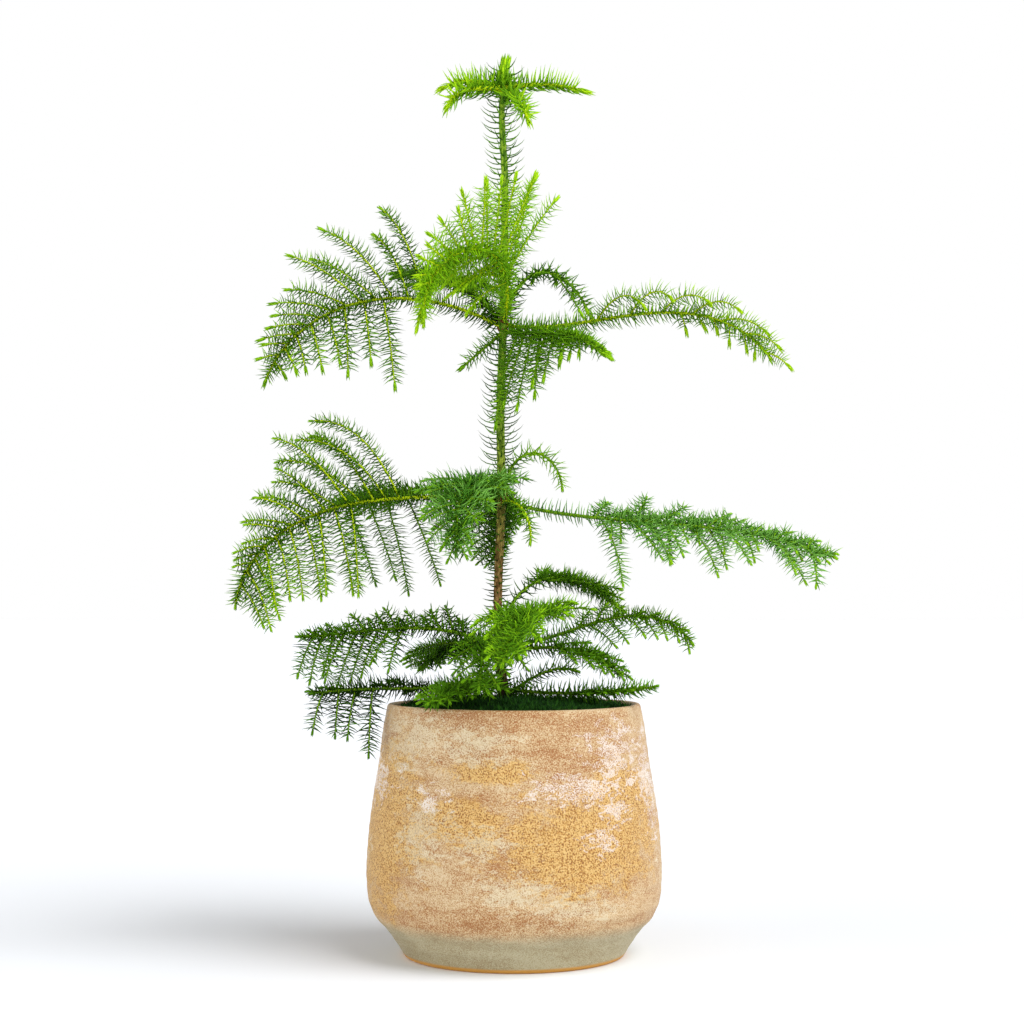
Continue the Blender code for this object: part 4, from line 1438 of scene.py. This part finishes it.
@dataclass
class Crown:
    """Every bough of the plant, with its branchlets and needles.

    Gaps, lengths and radii are in millimetres, angles in degrees. No branchlet enters the pot, whose rim and
    top are given, or comes nearer to the trunk's bark than the clearance. One that falls by more than the
    share HANGS of its length has hanging needles, and TWIG_LIGHT is how much brighter their tints get
    outwards
    along the bough: newer growth there, and painted shade on the branchlets nearer the trunk.
    """

    trunk: Trunk
    branchlet_gap: float = 12.2
    branchlet_steps: int = 14
    branchlet_least: float = 11.0
    splay_closes: float = 34.0
    angle_spread: float = 7.0
    length_spread: float = 0.18
    wander: float = 0.16
    pot_rim: float = 91.0
    pot_top: float = 172.0
    clearance: float = 3.0

    ROOT = 1.6
    LINE_STEPS = 60
    LONGEST = 1.06
    SAG_LENGTH = 50.0
    SAG_BEND = 1.3
    FIRST_TWIG = 2.0
    LAST_TWIG = 0.95
    TWIGS_CLOSE = 0.3
    TWIG_LIGHT = 0.35
    HANGS = 0.6
    TOP_BUD = 1.5
    HIGH_BUD = 1.0
    LOW_BUD = 0.55
    BOUGH_SKIN = Skin(1.3, 9, relief=0.30, collar=0.5)
    TWIG_SKIN = Skin(4.5, 5)
    TOP = Habit(3.0, 0.44, NeedleShape(length=12.8, half_width=0.76, first=2.0, last=16.0, lift=0.50,
                                       press=44.0, fullness=2.4, segments=3), 1.9, 0.7, 0.9, 0.22)
    SHORT = Habit(3.0, 0.50, NeedleShape(length=9.6, half_width=0.50, first=4.0, last=26.0, lift=0.2,
                                         press=16.0, fullness=2.4, segments=3), 1.15, 0.7, 0.9, 0.15)
    BOUGH = Habit(3.0, 0.42, NeedleShape(length=10.2, half_width=0.60, first=-4.0, last=14.0, lift=0.26,
                                         press=16.0, fullness=2.4, segments=3), 1.35, 0.7, 0.8, -0.1)
    TWIG = Habit(1.5, 0.62, NeedleShape(length=10.2, half_width=0.50, first=4.0, last=26.0, lift=0.12,
                                        fullness=2.4), 0.74, 0.46, 0.5, -0.1)
    SOFT_TWIG = replace(TWIG, shape=NeedleShape(length=11.8, half_width=0.46, first=4.0, last=30.0,
                                                lift=-0.10, fullness=2.4))
    HANGING_TWIG = replace(TWIG, shape=NeedleShape(length=10.4, half_width=0.54, first=2.0, last=20.0,
                                                   fullness=2.4))

    def line(self, bough: Bough) -> Route:
        """A bough's middle, from inside the trunk's bark to its tip.

        Args:
            bough: The bough.

        Returns:
            The route.
        """
        steps = self.LINE_STEPS
        middle, radius = self.trunk.at(bough.start)
        out = bough.direction(0.0)
        level = Vector((out.x, out.y, 0.0)).normalized()
        point = Vector(middle) + level * radius
        points = [point - level * self.ROOT, point.copy()]
        for index in range(steps):
            point = point + bough.direction((index + 0.5) / steps) * (bough.length / steps)
            points.append(point.copy())
        return Route(np.array(points), np.array(bough.across(0.0)))

    def branchlet(self, bough: Bough, root: Vector, share: float, side: float, row: Row,
                  seed: str) -> Route | None:
        """One branchlet: it leaves the bough at its row's angles and bends with its weight.

        Args:
            bough: The bough that carries it.
            root: Where it leaves.
            share: That place as a share of the bough.
            side: 1 for the right row, -1 for the left.
            row: The row's angles and reach.
            seed: What its small differences are drawn from.

        Returns:
            Its route, or nothing where it has no room.
        """
        draw = random.Random(seed)
        along = bough.direction(share)
        across = bough.across(share)
        up = across.cross(along)
        spread = self.angle_spread * row.loose
        splay = row.splay - self.splay_closes * share + draw.uniform(-spread, spread)
        rise = math.radians(row.rise + draw.uniform(-spread, spread))
        splay = math.radians(splay)
        sideways = across * side * math.cos(rise) + up * math.sin(rise)
        heading = along * math.cos(splay) + sideways * math.sin(splay)
        fade = ((1.0 - share) / (1.0 - bough.bare)) ** row.fade
        length = row.reach * fade * (self.LONGEST - self.length_spread * row.loose * draw.random())
        weight = row.sag * math.sqrt(length / self.SAG_LENGTH)
        wander = along * draw.uniform(-self.wander, self.wander) * row.loose
        points = [root.copy()]
        for index in range(self.branchlet_steps):
            place = (index + 0.5) / self.branchlet_steps
            step = heading + Vector((0.0, 0.0, -weight * place ** self.SAG_BEND)) + wander * place
            point = points[-1] + step.normalized() * (length / self.branchlet_steps)
            if self.blocked(point):
                break
            points.append(point)
        if (len(points) - 1) * length / self.branchlet_steps < self.branchlet_least:
            return None
        return Route(np.array(points), np.array(along))

    def blocked(self, point: Vector) -> bool:
        """Whether a point is in the trunk or in the pot.

        Args:
            point: A place in millimetres.

        Returns:
            True where no branchlet can go.
        """
        if point.z < self.pot_top and math.hypot(point.x, point.y) < self.pot_rim:
            return True
        middle, radius = self.trunk.at(point.z)
        near = math.hypot(point.x - middle[0], point.y - middle[1])
        return near < radius + self.clearance and point.z < self.trunk.ROUTE[-1][0]

    def shoots(self, number: int, bough: Bough) -> list[Shoot]:
        """The bough's own axis, then its branchlets.

        Args:
            number: The whorl, counted from the top.
            bough: The bough.

        Returns:
            The shoots, the bough's own first.
        """
        name = f"foliage_{number}_{bough.side}"
        route = self.line(bough)
        dress = bough.dress
        if number == 1:
            return [Shoot(route, name, dress, self.TOP, bud=self.TOP_BUD)]
        bud = self.HIGH_BUD if number == 2 else self.LOW_BUD
        if bough.short:
            return [Shoot(route, name, dress, self.SHORT, dress.thin, bud=bud)]
        grown = [Shoot(route, name, dress, self.BOUGH, dress.thin, bud=bud)]
        for side, row in ((-1.0, bough.left), (1.0, bough.right)):
            for seed, share, twig in self._twigs(bough, route, side, row, name):
                habit = self._twig_habit(dress, twig)
                # Painted shade: branchlets nearer the trunk are dealt darker tints, outer ones brighter,
                # which is also their newer growth.
                grown.append(Shoot(twig, seed, dress, habit, light=self.TWIG_LIGHT * share, bud=bud))
        return grown

    def _twigs(self, bough: Bough, route: Route, side: float, row: Row,
               name: str) -> Iterator[tuple[str, float, Route]]:
        """The branchlets of one row.

        Args:
            bough: The bough.
            route: Its line.
            side: 1 for the right row, -1 for the left.
            row: The row.
            name: What the branchlets' differences are drawn from.

        Yields:
            For each, what it is drawn from, its share of the bough and its route.
        """
        gap = self.branchlet_gap * row.pitch
        start = max(bough.bare, row.first) * bough.length
        distance = start + (0.5 * gap if side > 0 else 0.0) + self.FIRST_TWIG
        index = 0
        while distance < bough.length * self.LAST_TWIG:
            share = distance / bough.length
            root = Vector(route.read(np.array([distance + self.ROOT]))[0][0])
            seed = f"{name} {side} {index}"
            twig = self.branchlet(bough, root, share, side, row, seed)
            if twig is not None:
                yield seed, share, twig
            index += 1
            distance += gap * (1.0 - self.TWIGS_CLOSE * share)

    def _twig_habit(self, dress: Dress, twig: Route) -> Habit:
        """How a branchlet grows, by its bough's dress and by whether it hangs.

        Args:
            dress: The bough's dress.
            twig: The branchlet's line.

        Returns:
            Its habit.
        """
        if dress.soft:
            return self.SOFT_TWIG
        hangs = twig.points[-1][2] < twig.points[0][2] - self.HANGS * twig.length
        return self.HANGING_TWIG if hangs else self.TWIG

    def build_whorl(self, number: int, whorl: tuple[Bough, ...]) -> None:
        """Grow one whorl and settle its pieces.

        Args:
            number: The whorl, counted from the top.
            whorl: Its boughs.
        """
        beds: dict[Tint, NeedleBed] = {}
        barks: dict[Wood, Joined] = {}
        twigs: dict[Wood, Joined] = {}
        masses = [f"foliage_{number}_{bough.side}" for bough in whorl]
        limbs = [f"bough_{number}_{bough.side}" for bough in whorl if not bough.short]
        for bough in whorl:
            shoots = self.shoots(number, bough)
            wood = bough.dress.wood
            shoots[0].skin(barks.setdefault(wood, Joined()), self.BOUGH_SKIN)
            for shoot in shoots[1:]:
                shoot.skin(twigs.setdefault(wood, Joined()), self.TWIG_SKIN)
            for shoot in shoots:
                shoot.grow(beds)
        for wood, joined in barks.items():
            piece = joined.build(f"boughs_{number}_{wood.value}", TWIG_FINISHES[wood].material("bough_bark"))
            settle(piece, limbs + masses)
        for wood, joined in twigs.items():
            piece = joined.build(f"twigs_{number}_{wood.value}", TWIG_FINISHES[wood].material("twig_bark"))
            settle(piece, masses)
        settle_needles(beds, f"needles_{number}", masses)

    def build(self) -> None:
        """Grow every whorl."""
        for number, whorl in enumerate(WHORLS, start=1):
            self.build_whorl(number, whorl)


def settle_needles(beds: dict[Tint, NeedleBed], name: str, nodes: list[str]) -> None:
    """Make and settle the pieces of some beds of needles.

    Args:
        beds: The needles by tint.
        name: What the pieces' names start with.
        nodes: The solids that they stand for.
    """
    for tint, bed in beds.items():
        finish = NEEDLE_FINISHES[tint].material(f"needle_{tint.value}")
        for index, joined in enumerate(bed.meshes()):
            settle(joined.build(f"{name}_{tint.value}_{index + 1}", finish), nodes)


@dataclass
class Stem:
    """The trunk's bark, the needles up it, the scales at its whorls and the bud on top.

    Lengths are in millimetres. BANDS holds the lowest and highest height of each band of needles, with their
    dress and shape, and BLUR is how far the bands mix.
    """

    trunk: Trunk
    needle_gap: float = 0.85
    first_needle: float = 14.0
    bud_top: float = 618.0
    bud_needles: int = 52
    bud_length: float = 15.0
    bud_radius: float = 1.1
    scales: int = 34
    scale_radius: float = 2.9

    JITTER = 0.3
    LENGTHS = (0.86, 1.1)
    BUD_LENGTHS = (0.75, 0.95)
    BUD_TINTS = (Tint.LIME, Tint.GOLD, Tint.FRESH)
    SCALE_LENGTHS = (0.7, 1.2)
    SCALE_PLACES = (-5.0, 4.0)
    LIGHT_FROM = 330.0
    LIGHT_OVER = 290.0
    LIGHT_SPREAD = 0.25
    BLUR = 12.0
    UPPER = NeedleShape(length=15.4, half_width=0.66, first=-8.0, last=58.0, close=0.0, fullness=2.2,
                        segments=4)
    LOWER = NeedleShape(length=8.8, half_width=0.80, first=-4.0, last=26.0, close=0.0, fullness=1.8,
                        segments=3)
    BUD = NeedleShape(length=14.4, half_width=1.10, first=66.0, last=88.0, close=0.0, fullness=3.6,
                      segments=3)
    SCALE = NeedleShape(length=3.6, half_width=0.8, first=40.0, last=70.0, close=0.0)
    BANDS = (
        (0.0, 235.0, Dress(Tint.SHADE, Tint.SHADE, Tint.DEEP, Tint.DEEP), LOWER),
        (235.0, 330.0, Dress(Tint.SHADE, Tint.DEEP, Tint.LEAF, Tint.LEAF), LOWER),
        (330.0, 700.0, Dress(Tint.DEEP, Tint.DEEP, Tint.LEAF, Tint.FRESH), UPPER),
    )

    def needles(self) -> dict[Tint, NeedleBed]:
        """Needles up the trunk: short at its foot and long at its top, dealt darker tints the lower they
        stand as painted shade.

        Returns:
            The beds, by tint.
        """
        route = self.trunk.line()
        draw = seeded("trunk needles")
        count = int((route.length - self.first_needle) / self.needle_gap)
        jitter = draw.uniform(-self.JITTER, self.JITTER, count)
        marks = self.first_needle + self.needle_gap * (np.arange(count) + jitter)
        places, ahead, out = self._round(route, marks, GOLDEN_ANGLE * np.arange(count))
        heights = places[:, 2]
        radii = np.array([self.trunk.at(height)[1] for height in heights])
        roots = places + out * radii[:, None]
        # Painted shade: the lower a trunk needle stands, the darker the tint it is dealt.
        light = 0.4 + 0.5 * (heights - self.LIGHT_FROM) / self.LIGHT_OVER
        light = light + draw.normal(0.0, self.LIGHT_SPREAD, count)
        tints = np.digitize(light, Shoot.STEPS)
        blurred = heights + draw.uniform(-self.BLUR, self.BLUR, count)
        beds: dict[Tint, NeedleBed] = {}
        for low, high, dress, shape in self.BANDS:
            sizes = sizes_of(shape, out, np.zeros(count), draw.uniform(*self.LENGTHS, count))
            for index, tint in enumerate(dress.tints()):
                mine = (blurred >= low) & (blurred < high) & (tints == index)
                bed = beds.setdefault(tint, NeedleBed())
                bed.add(roots[mine], out[mine], ahead[mine], sizes[mine], shape.segments)
        self._bud(beds, route)
        self._scales(beds, route)
        return beds

    def _round(self, route: Route, marks: np.ndarray, turn: np.ndarray) -> tuple[np.ndarray, ...]:
        """Places up the trunk, with the directions ahead and out there.

        Args:
            route: The trunk's middle.
            marks: Distances up it in millimetres.
            turn: The angle round it at each.

        Returns:
            Places, directions ahead and directions out, one row each.
        """
        places, ahead, across, up = route.read(marks)
        out = across * np.cos(turn)[:, None] + up * np.sin(turn)[:, None]
        return places, ahead, out

    def _bud(self, beds: dict[Tint, NeedleBed], route: Route) -> None:
        """The tuft of broad young needles round the bud.

        Args:
            beds: The needles gathered so far, by tint.
            route: The trunk's middle.
        """
        draw = seeded("bud")
        count = self.bud_needles
        marks = route.length - self.bud_length * (1.0 - np.arange(count) / count)
        places, ahead, out = self._round(route, marks, GOLDEN_ANGLE * np.arange(count))
        room = self.bud_top - places[:, 2]
        spread = np.minimum(draw.uniform(*self.BUD_LENGTHS, count), room / self.BUD.length)
        sizes = sizes_of(self.BUD, out, np.zeros(count), spread)
        roots = places + out * self.bud_radius
        for index, tint in enumerate(self.BUD_TINTS):
            mine = np.arange(count) % len(self.BUD_TINTS) == index
            bed = beds.setdefault(tint, NeedleBed())
            bed.add(roots[mine], out[mine], ahead[mine], sizes[mine], self.BUD.segments)

    def _scales(self, beds: dict[Tint, NeedleBed], route: Route) -> None:
        """Dry brown scales left round the foot of each whorl.

        Args:
            beds: The needles gathered so far, by tint.
            route: The trunk's middle.
        """
        draw = seeded("scales")
        count = self.scales
        for node in self.trunk.NODES[1:4]:
            marks = node - route.points[0][2] + draw.uniform(*self.SCALE_PLACES, count)
            places, ahead, out = self._round(route, marks, draw.uniform(0.0, 2.0 * math.pi, count))
            sizes = sizes_of(self.SCALE, out, np.zeros(count), draw.uniform(*self.SCALE_LENGTHS, count))
            bed = beds.setdefault(Tint.SCALE, NeedleBed())
            bed.add(places + out * self.scale_radius, out, ahead, sizes, self.SCALE.segments)

    def build(self) -> None:
        """Make the trunk's pieces."""
        bark = self.trunk.bark().build("trunk_bark", BarkFinish().material("trunk_bark"))
        settle(bark, ["trunk"])
        settle_needles(self.needles(), "needles_trunk", ["trunk"])


@dataclass
class Pot:
    """The turned pot: a bellied wall on a flat foot, drawn in to a thin round lip.

    Lengths are in millimetres. sway is how far the wall is out of round, ridges how deep the turning marks
    are, lumps how far the clay swells between them and lip_wave how far the lip rises and falls.
    """

    height: float = 168.6
    lip_radius: float = 86.3
    wall: float = 4.4
    floor: float = 9.0
    turns: int = 300
    step: float = 1.3
    sway: float = 0.22
    ridges: float = 0.10
    ridge_width: float = 1.35
    lumps: float = 0.45
    lump_scale: float = 0.045
    lip_wave: float = 0.35

    CLEAR = 4.0
    LIP_ARC = (10.0, 170.0, 9)
    LIP_REACH = 8.0
    ROUND_WITHIN = 30.0
    SMOOTH_WITHIN = 60.0
    RIDGED = (6.0, 164.0)
    INSIDE_SKIPS = 4
    UNDER = ((0.0, 0.0), (40.0, 0.0), (70.0, 0.0), (73.0, 0.0), (74.3, 0.5))
    INNER_FLOOR = (70.0, 40.0, 0.0)
    OUTSIDE = (
        (75.0, 1.5),
        (79.6, 9.0),
        (87.2, 19.5),
        (93.4, 26.0),
        (98.5, 37.5),
        (99.8, 50.5),
        (100.0, 60.0),
        (98.6, 83.0),
        (95.6, 106.0),
        (92.3, 126.0),
        (88.8, 153.0),
        (86.6, 165.0),
    )

    def profile(self) -> np.ndarray:
        """The section from the middle of the underside, up the outside, over the lip and down the inside.

        Returns:
            Rows of radius and height.
        """
        outside = self._smooth(np.array(self.OUTSIDE))
        half = self.wall * 0.5
        angles = np.radians(np.linspace(*self.LIP_ARC))
        lip = np.stack([self.lip_radius - half + half * np.cos(angles),
                        self.height - half + half * np.sin(angles)], axis=1)
        inside = outside[::-1].copy()
        inside[:, 0] -= self.wall
        low = self.floor + self.CLEAR
        high = self.height - self.CLEAR
        inside = inside[(inside[:, 1] > low) & (inside[:, 1] < high)]
        inner_floor = np.array([(radius, self.floor) for radius in self.INNER_FLOOR])
        return np.concatenate([np.array(self.UNDER), outside, lip, inside[::self.INSIDE_SKIPS], inner_floor])

    def _smooth(self, points: np.ndarray) -> np.ndarray:
        """A fine smooth line through the section's own points.

        Args:
            points: Rows of radius and height.

        Returns:
            Rows of radius and height, about a step apart.
        """
        marks = np.concatenate([[0.0], np.cumsum(np.linalg.norm(np.diff(points, axis=0), axis=1))])
        padded = np.concatenate([[2 * points[0] - points[1]], points, [2 * points[-1] - points[-2]]])
        fine = []
        for index in range(len(points) - 1):
            before, low, high, after = padded[index:index + 4]
            slope = high - before
            bend = 2 * before - 5 * low + 4 * high - after
            turn = 3 * low - before - 3 * high + after
            count = max(2, int(round((marks[index + 1] - marks[index]) / self.step)))
            for part in range(count):
                share = part / count
                fine.append(0.5 * (2 * low + slope * share + bend * share * share + turn * share ** 3))
        fine.append(points[-1])
        return np.array(fine)

    def _points(self, radius: np.ndarray, height: np.ndarray) -> np.ndarray:
        """The corners of the wall, ring by ring."""
        turn = circle(self.turns)
        return np.stack([radius * np.cos(turn), radius * np.sin(turn), height], axis=2).reshape(-1, 3)

    def turned(self, profile: np.ndarray) -> np.ndarray:
        """Turn the section, then press a hand's small faults into the wall.

        Args:
            profile: The section, as rows of radius and height.

        Returns:
            The corners, ring by ring.
        """
        turn = circle(self.turns)
        radius = np.repeat(profile[:, :1], self.turns, axis=1)
        height = np.repeat(profile[:, 1:], self.turns, axis=1)
        share = np.clip(height / self.height, 0.0, 1.0) * np.clip(radius / self.ROUND_WITHIN, 0.0, 1.0)
        lobes = np.sin(2 * turn + 0.6) + 0.6 * np.sin(3 * turn + 2.0 + height / 60.0)
        radius = radius + self.sway * share * lobes
        ridge = np.sin(height / self.ridge_width + 0.7 * np.sin(turn + height / 23.0))
        ridge = ridge * (height > self.RIDGED[0]) * (height < self.RIDGED[1])
        radius = radius + self.ridges * ridge * np.clip(radius / self.SMOOTH_WITHIN, 0.0, 1.0)
        points = self._points(radius, height)
        lumps = np.array([noise.noise(Vector(point) * self.lump_scale) for point in points])
        radius = radius + self.lumps * lumps.reshape(radius.shape) * share
        lip = np.clip((height - self.height + self.LIP_REACH) / self.LIP_REACH, 0.0, 1.0)
        height = height + self.lip_wave * lip * np.sin(2 * turn + 1.1)
        return self._points(radius, height)

    def build(self) -> None:
        """Make the pot, with its first and last rings drawn together to one corner each."""
        profile = self.profile()
        points = self.turned(profile)
        rings = len(profile) - 2
        last = rings * self.turns
        under = points[:1]
        wall = points[self.turns:self.turns + last]
        middle = points[self.turns + last:][:1]
        bottom = fan(1, self.turns, 0)[:, ::-1]
        top = fan(last + 1 - self.turns, self.turns, last + 1)
        joined = Joined()
        joined.add(np.concatenate([under, wall, middle]), ring_quads(rings, self.turns) + 1,
                   np.concatenate([bottom, top]))
        piece = joined.build("pot_glazed", GlazeFinish().material("speckled_glaze"))
        settle(piece, ["pot"])


@dataclass
class Filling:
    """What fills the pot: soil, and a cushion of moss that stands in tufts.

    Lengths are in millimetres. LUMPS holds the scale, the layer and the depth of each noise in the moss's
    surface, and CALM how soon they come in from its edge and what is left of them there. Blades keep WITHIN
    of the edge, and BRIGHT is the share of bright ones and how much more of them a clump has.
    """

    trunk: Trunk
    edge: float = 81.2
    rim_height: float = 163.4
    middle_height: float = 169.6
    thickness: float = 5.0
    rings: int = 44
    turns: int = 150
    blades: int = 11000
    lean: float = 0.42
    inward: float = 0.5
    inward_reach: float = 7.0
    clumps: float = 0.9
    clump_scale: float = 0.16
    clump_layer: float = 4.0
    trunk_height: float = 164.0
    trunk_clear: float = 4.5

    DOME = 2.2
    LUMPS = ((0.07, 0.0, 1.6), (0.22, 9.0, 0.9))
    CALM = (8.0, 0.3)
    WITHIN = 0.8
    LENGTHS = (0.65, 1.2)
    BRIGHT = (0.34, 0.5)
    BLADE = NeedleShape(length=5.4, half_width=0.42, first=0.0, last=34.0, close=0.0)

    BED = MossFinish((0.002, 0.014, 0.001), (0.006, 0.036, 0.002))
    BLADES = (
        MossFinish((0.002, 0.022, 0.001), (0.008, 0.060, 0.002)),
        MossFinish((0.006, 0.050, 0.001), (0.030, 0.130, 0.004)),
    )

    def surface(self, x: float, y: float) -> float:
        """The moss's height over a place.

        Args:
            x: Sideways place in millimetres.
            y: Depth in millimetres.

        Returns:
            The height in millimetres.
        """
        share = min(1.0, math.hypot(x, y) / self.edge)
        dome = self.rim_height + (self.middle_height - self.rim_height) * (1.0 - share ** self.DOME)
        lumps = sum(noise.noise(Vector((x, y, layer)) * scale) * depth for scale, layer, depth in self.LUMPS)
        return dome + lumps * min(1.0, (1.0 - share) * self.CALM[0] + self.CALM[1])

    def bed(self) -> Joined:
        """The moss's own surface, rounded down at the wall and closed below.

        Returns:
            The joined mesh.
        """
        rows = []
        for index in range(self.rings):
            radius = self.edge * ((index + 1) / self.rings)
            rows.append([(radius * math.cos(a), radius * math.sin(a)) for a in circle(self.turns)])
        points = [(0.0, 0.0, self.surface(0.0, 0.0))]
        for row in rows:
            points += [(x, y, self.surface(x, y)) for x, y in row]
        bottom = self.rim_height - self.thickness
        points += [(x, y, bottom) for x, y in rows[-1]]
        points.append((0.0, 0.0, bottom))
        last = 1 + self.rings * self.turns
        quads = ring_quads(self.rings + 1, self.turns)[:, [0, 3, 2, 1]] + 1
        top = fan(1, self.turns, 0)
        under = fan(last, self.turns, last + self.turns)[:, ::-1]
        joined = Joined()
        joined.add(np.array(points), quads, np.concatenate([top, under]))
        return joined

    def tufts(self) -> list[NeedleBed]:
        """Blades of moss in loose tufts, leaning every way.

        Returns:
            Two beds, the darker first.
        """
        draw = seeded("moss")
        count = self.blades
        radius = (self.edge - self.WITHIN) * np.sqrt(draw.uniform(0.0, 1.0, count))
        turn = draw.uniform(0.0, 2.0 * math.pi, count)
        x = radius * np.cos(turn)
        y = radius * np.sin(turn)
        roots = np.stack([x, y, np.array([self.surface(a, b) for a, b in zip(x, y)])], axis=1)
        foot, _ = self.trunk.at(self.trunk_height)
        free = np.hypot(x - foot[0], y - foot[1]) > self.trunk_clear
        lean = draw.normal(0.0, self.lean, (count, 2))
        inward = np.clip((radius - self.edge + self.inward_reach) / self.inward_reach, 0.0, 1.0)
        lean[:, 0] -= inward * self.inward * np.cos(turn)
        lean[:, 1] -= inward * self.inward * np.sin(turn)
        out = unit(np.stack([lean[:, 0], lean[:, 1], np.ones(count)], axis=1))
        level = unit(np.stack([draw.normal(0, 1, count), draw.normal(0, 1, count), np.zeros(count)], axis=1))
        ahead = unit(level - out * np.sum(level * out, axis=1, keepdims=True))
        clump = np.array([noise.noise(Vector((a, b, self.clump_layer)) * self.clump_scale)
                          for a, b in zip(x, y)])
        spread = (1.0 + self.clumps * clump) * draw.uniform(*self.LENGTHS, count)
        sizes = sizes_of(self.BLADE, out, np.zeros(count), spread)
        bright = draw.uniform(0.0, 1.0, count) < self.BRIGHT[0] + self.BRIGHT[1] * clump
        beds = []
        for mine in (free & ~bright, free & bright):
            bed = NeedleBed()
            bed.add(roots[mine], out[mine], ahead[mine], sizes[mine], self.BLADE.segments)
            beds.append(bed)
        return beds

    def build(self) -> None:
        """Make the moss's pieces and give the soil its finish."""
        settle(self.bed().build("moss_bed", self.BED.material("moss_bed")), ["moss"])
        for number, (bed, finish) in enumerate(zip(self.tufts(), self.BLADES), start=1):
            for joined in bed.meshes():
                piece = joined.build(f"moss_tufts_{number}", finish.material("moss_blade"))
                settle(piece, ["moss"])
        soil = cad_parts["soil"]
        soil.data.materials.clear()
        soil.data.materials.append(SoilFinish().material("potting_soil"))


@dataclass
class Studio:
    """A white room: a pale floor, a key lamp on the right, a low fill on the left and the camera.

    Lengths are in metres and angles in degrees. horizon is the height, as a share of straight up, over which
    the surroundings dim to what they are overhead.
    """

    distance: float = 1.30
    sideways: float = -0.0015
    eye: float = 0.235
    pitch: float = 2.835
    lens: float = 66.73
    floor_size: float = 60.0
    key_strength: float = 2.65
    key_width: float = 50.0
    key_side: float = 32.0
    key_rise: float = 48.0
    fill_strength: float = 1.30
    fill_width: float = 60.0
    fill_side: float = 155.0
    fill_rise: float = 7.0
    overhead: float = 0.24
    horizon: tuple[float, float] = (0.35, 0.75)

    SENSOR = 36.0

    def build(self) -> None:
        """Make the floor, lights, surroundings and camera."""
        self._floor()
        self._lamp("key", self.key_strength, self.key_width, self.key_side, self.key_rise)
        self._lamp("fill", self.fill_strength, self.fill_width, self.fill_side, self.fill_rise)
        self._surroundings()
        self._camera()

    def _floor(self) -> None:
        """A wide level floor."""
        half = self.floor_size / 2.0
        corners = [(-half, -half, 0), (half, -half, 0), (half, half, 0), (-half, half, 0)]
        mesh = bpy.data.meshes.new("studio_floor")
        mesh.from_pydata(corners, [], [(0, 1, 2, 3)])
        mesh.materials.append(FloorFinish().material("studio_floor"))
        floor = bpy.data.objects.new("studio_floor", mesh)
        bpy.context.scene.collection.objects.link(floor)

    def _lamp(self, name: str, strength: float, width: float, side: float, rise: float) -> None:
        """A large soft lamp far away.

        Args:
            name: The lamp's name.
            strength: Its light on a surface that faces it.
            width: How wide it looks, in degrees.
            side: Its direction from +X towards the viewer, in degrees.
            rise: Its height above the level, in degrees.
        """
        data = bpy.data.lights.new(name, "SUN")
        data.energy = strength
        data.angle = math.radians(width)
        data.color = (1.0, 1.0, 1.0)
        light = bpy.data.objects.new(name, data)
        side = math.radians(side)
        rise = math.radians(rise)
        way = Vector((math.cos(side) * math.cos(rise), -math.sin(side) * math.cos(rise), math.sin(rise)))
        light.rotation_euler = way.to_track_quat("Z", "Y").to_euler()
        bpy.context.scene.collection.objects.link(light)

    def _surroundings(self) -> None:
        """White all round at the height of the plant, and dimmer overhead."""
        world = bpy.data.worlds.new("white_room")
        world.use_nodes = True
        nodes = world.node_tree.nodes
        links = world.node_tree.links
        direction = nodes.new("ShaderNodeTexCoord")
        split = nodes.new("ShaderNodeSeparateXYZ")
        fade = nodes.new("ShaderNodeMapRange")
        fade.inputs["From Min"].default_value = self.horizon[0]
        fade.inputs["From Max"].default_value = self.horizon[1]
        fade.inputs["To Min"].default_value = 1.0
        fade.inputs["To Max"].default_value = self.overhead
        links.new(direction.outputs["Generated"], split.inputs["Vector"])
        links.new(split.outputs["Z"], fade.inputs["Value"])
        links.new(fade.outputs["Result"], nodes["Background"].inputs["Strength"])
        nodes["Background"].inputs["Color"].default_value = (1.0, 1.0, 1.0, 1.0)
        bpy.context.scene.world = world
        bpy.context.scene.view_settings.view_transform = "Standard"

    def _camera(self) -> None:
        """The camera at the viewer's place, turned up a little."""
        data = bpy.data.cameras.new("camera")
        data.sensor_width = self.SENSOR
        data.lens = self.lens
        camera = bpy.data.objects.new("camera", data)
        camera.location = (self.sideways, -self.distance, self.eye)
        camera.rotation_euler = (math.radians(90.0 + self.pitch), 0.0, 0.0)
        bpy.context.scene.collection.objects.link(camera)
        bpy.context.scene.camera = camera


def main() -> None:
    """Build the studio, then the plant from the pot up."""
    logging.basicConfig(level=logging.INFO, format="%(message)s")
    trunk = Trunk()
    Studio().build()
    Pot().build()
    Filling(trunk).build()
    Stem(trunk).build()
    Crown(trunk).build()


if __name__ == "__main__":
    main()
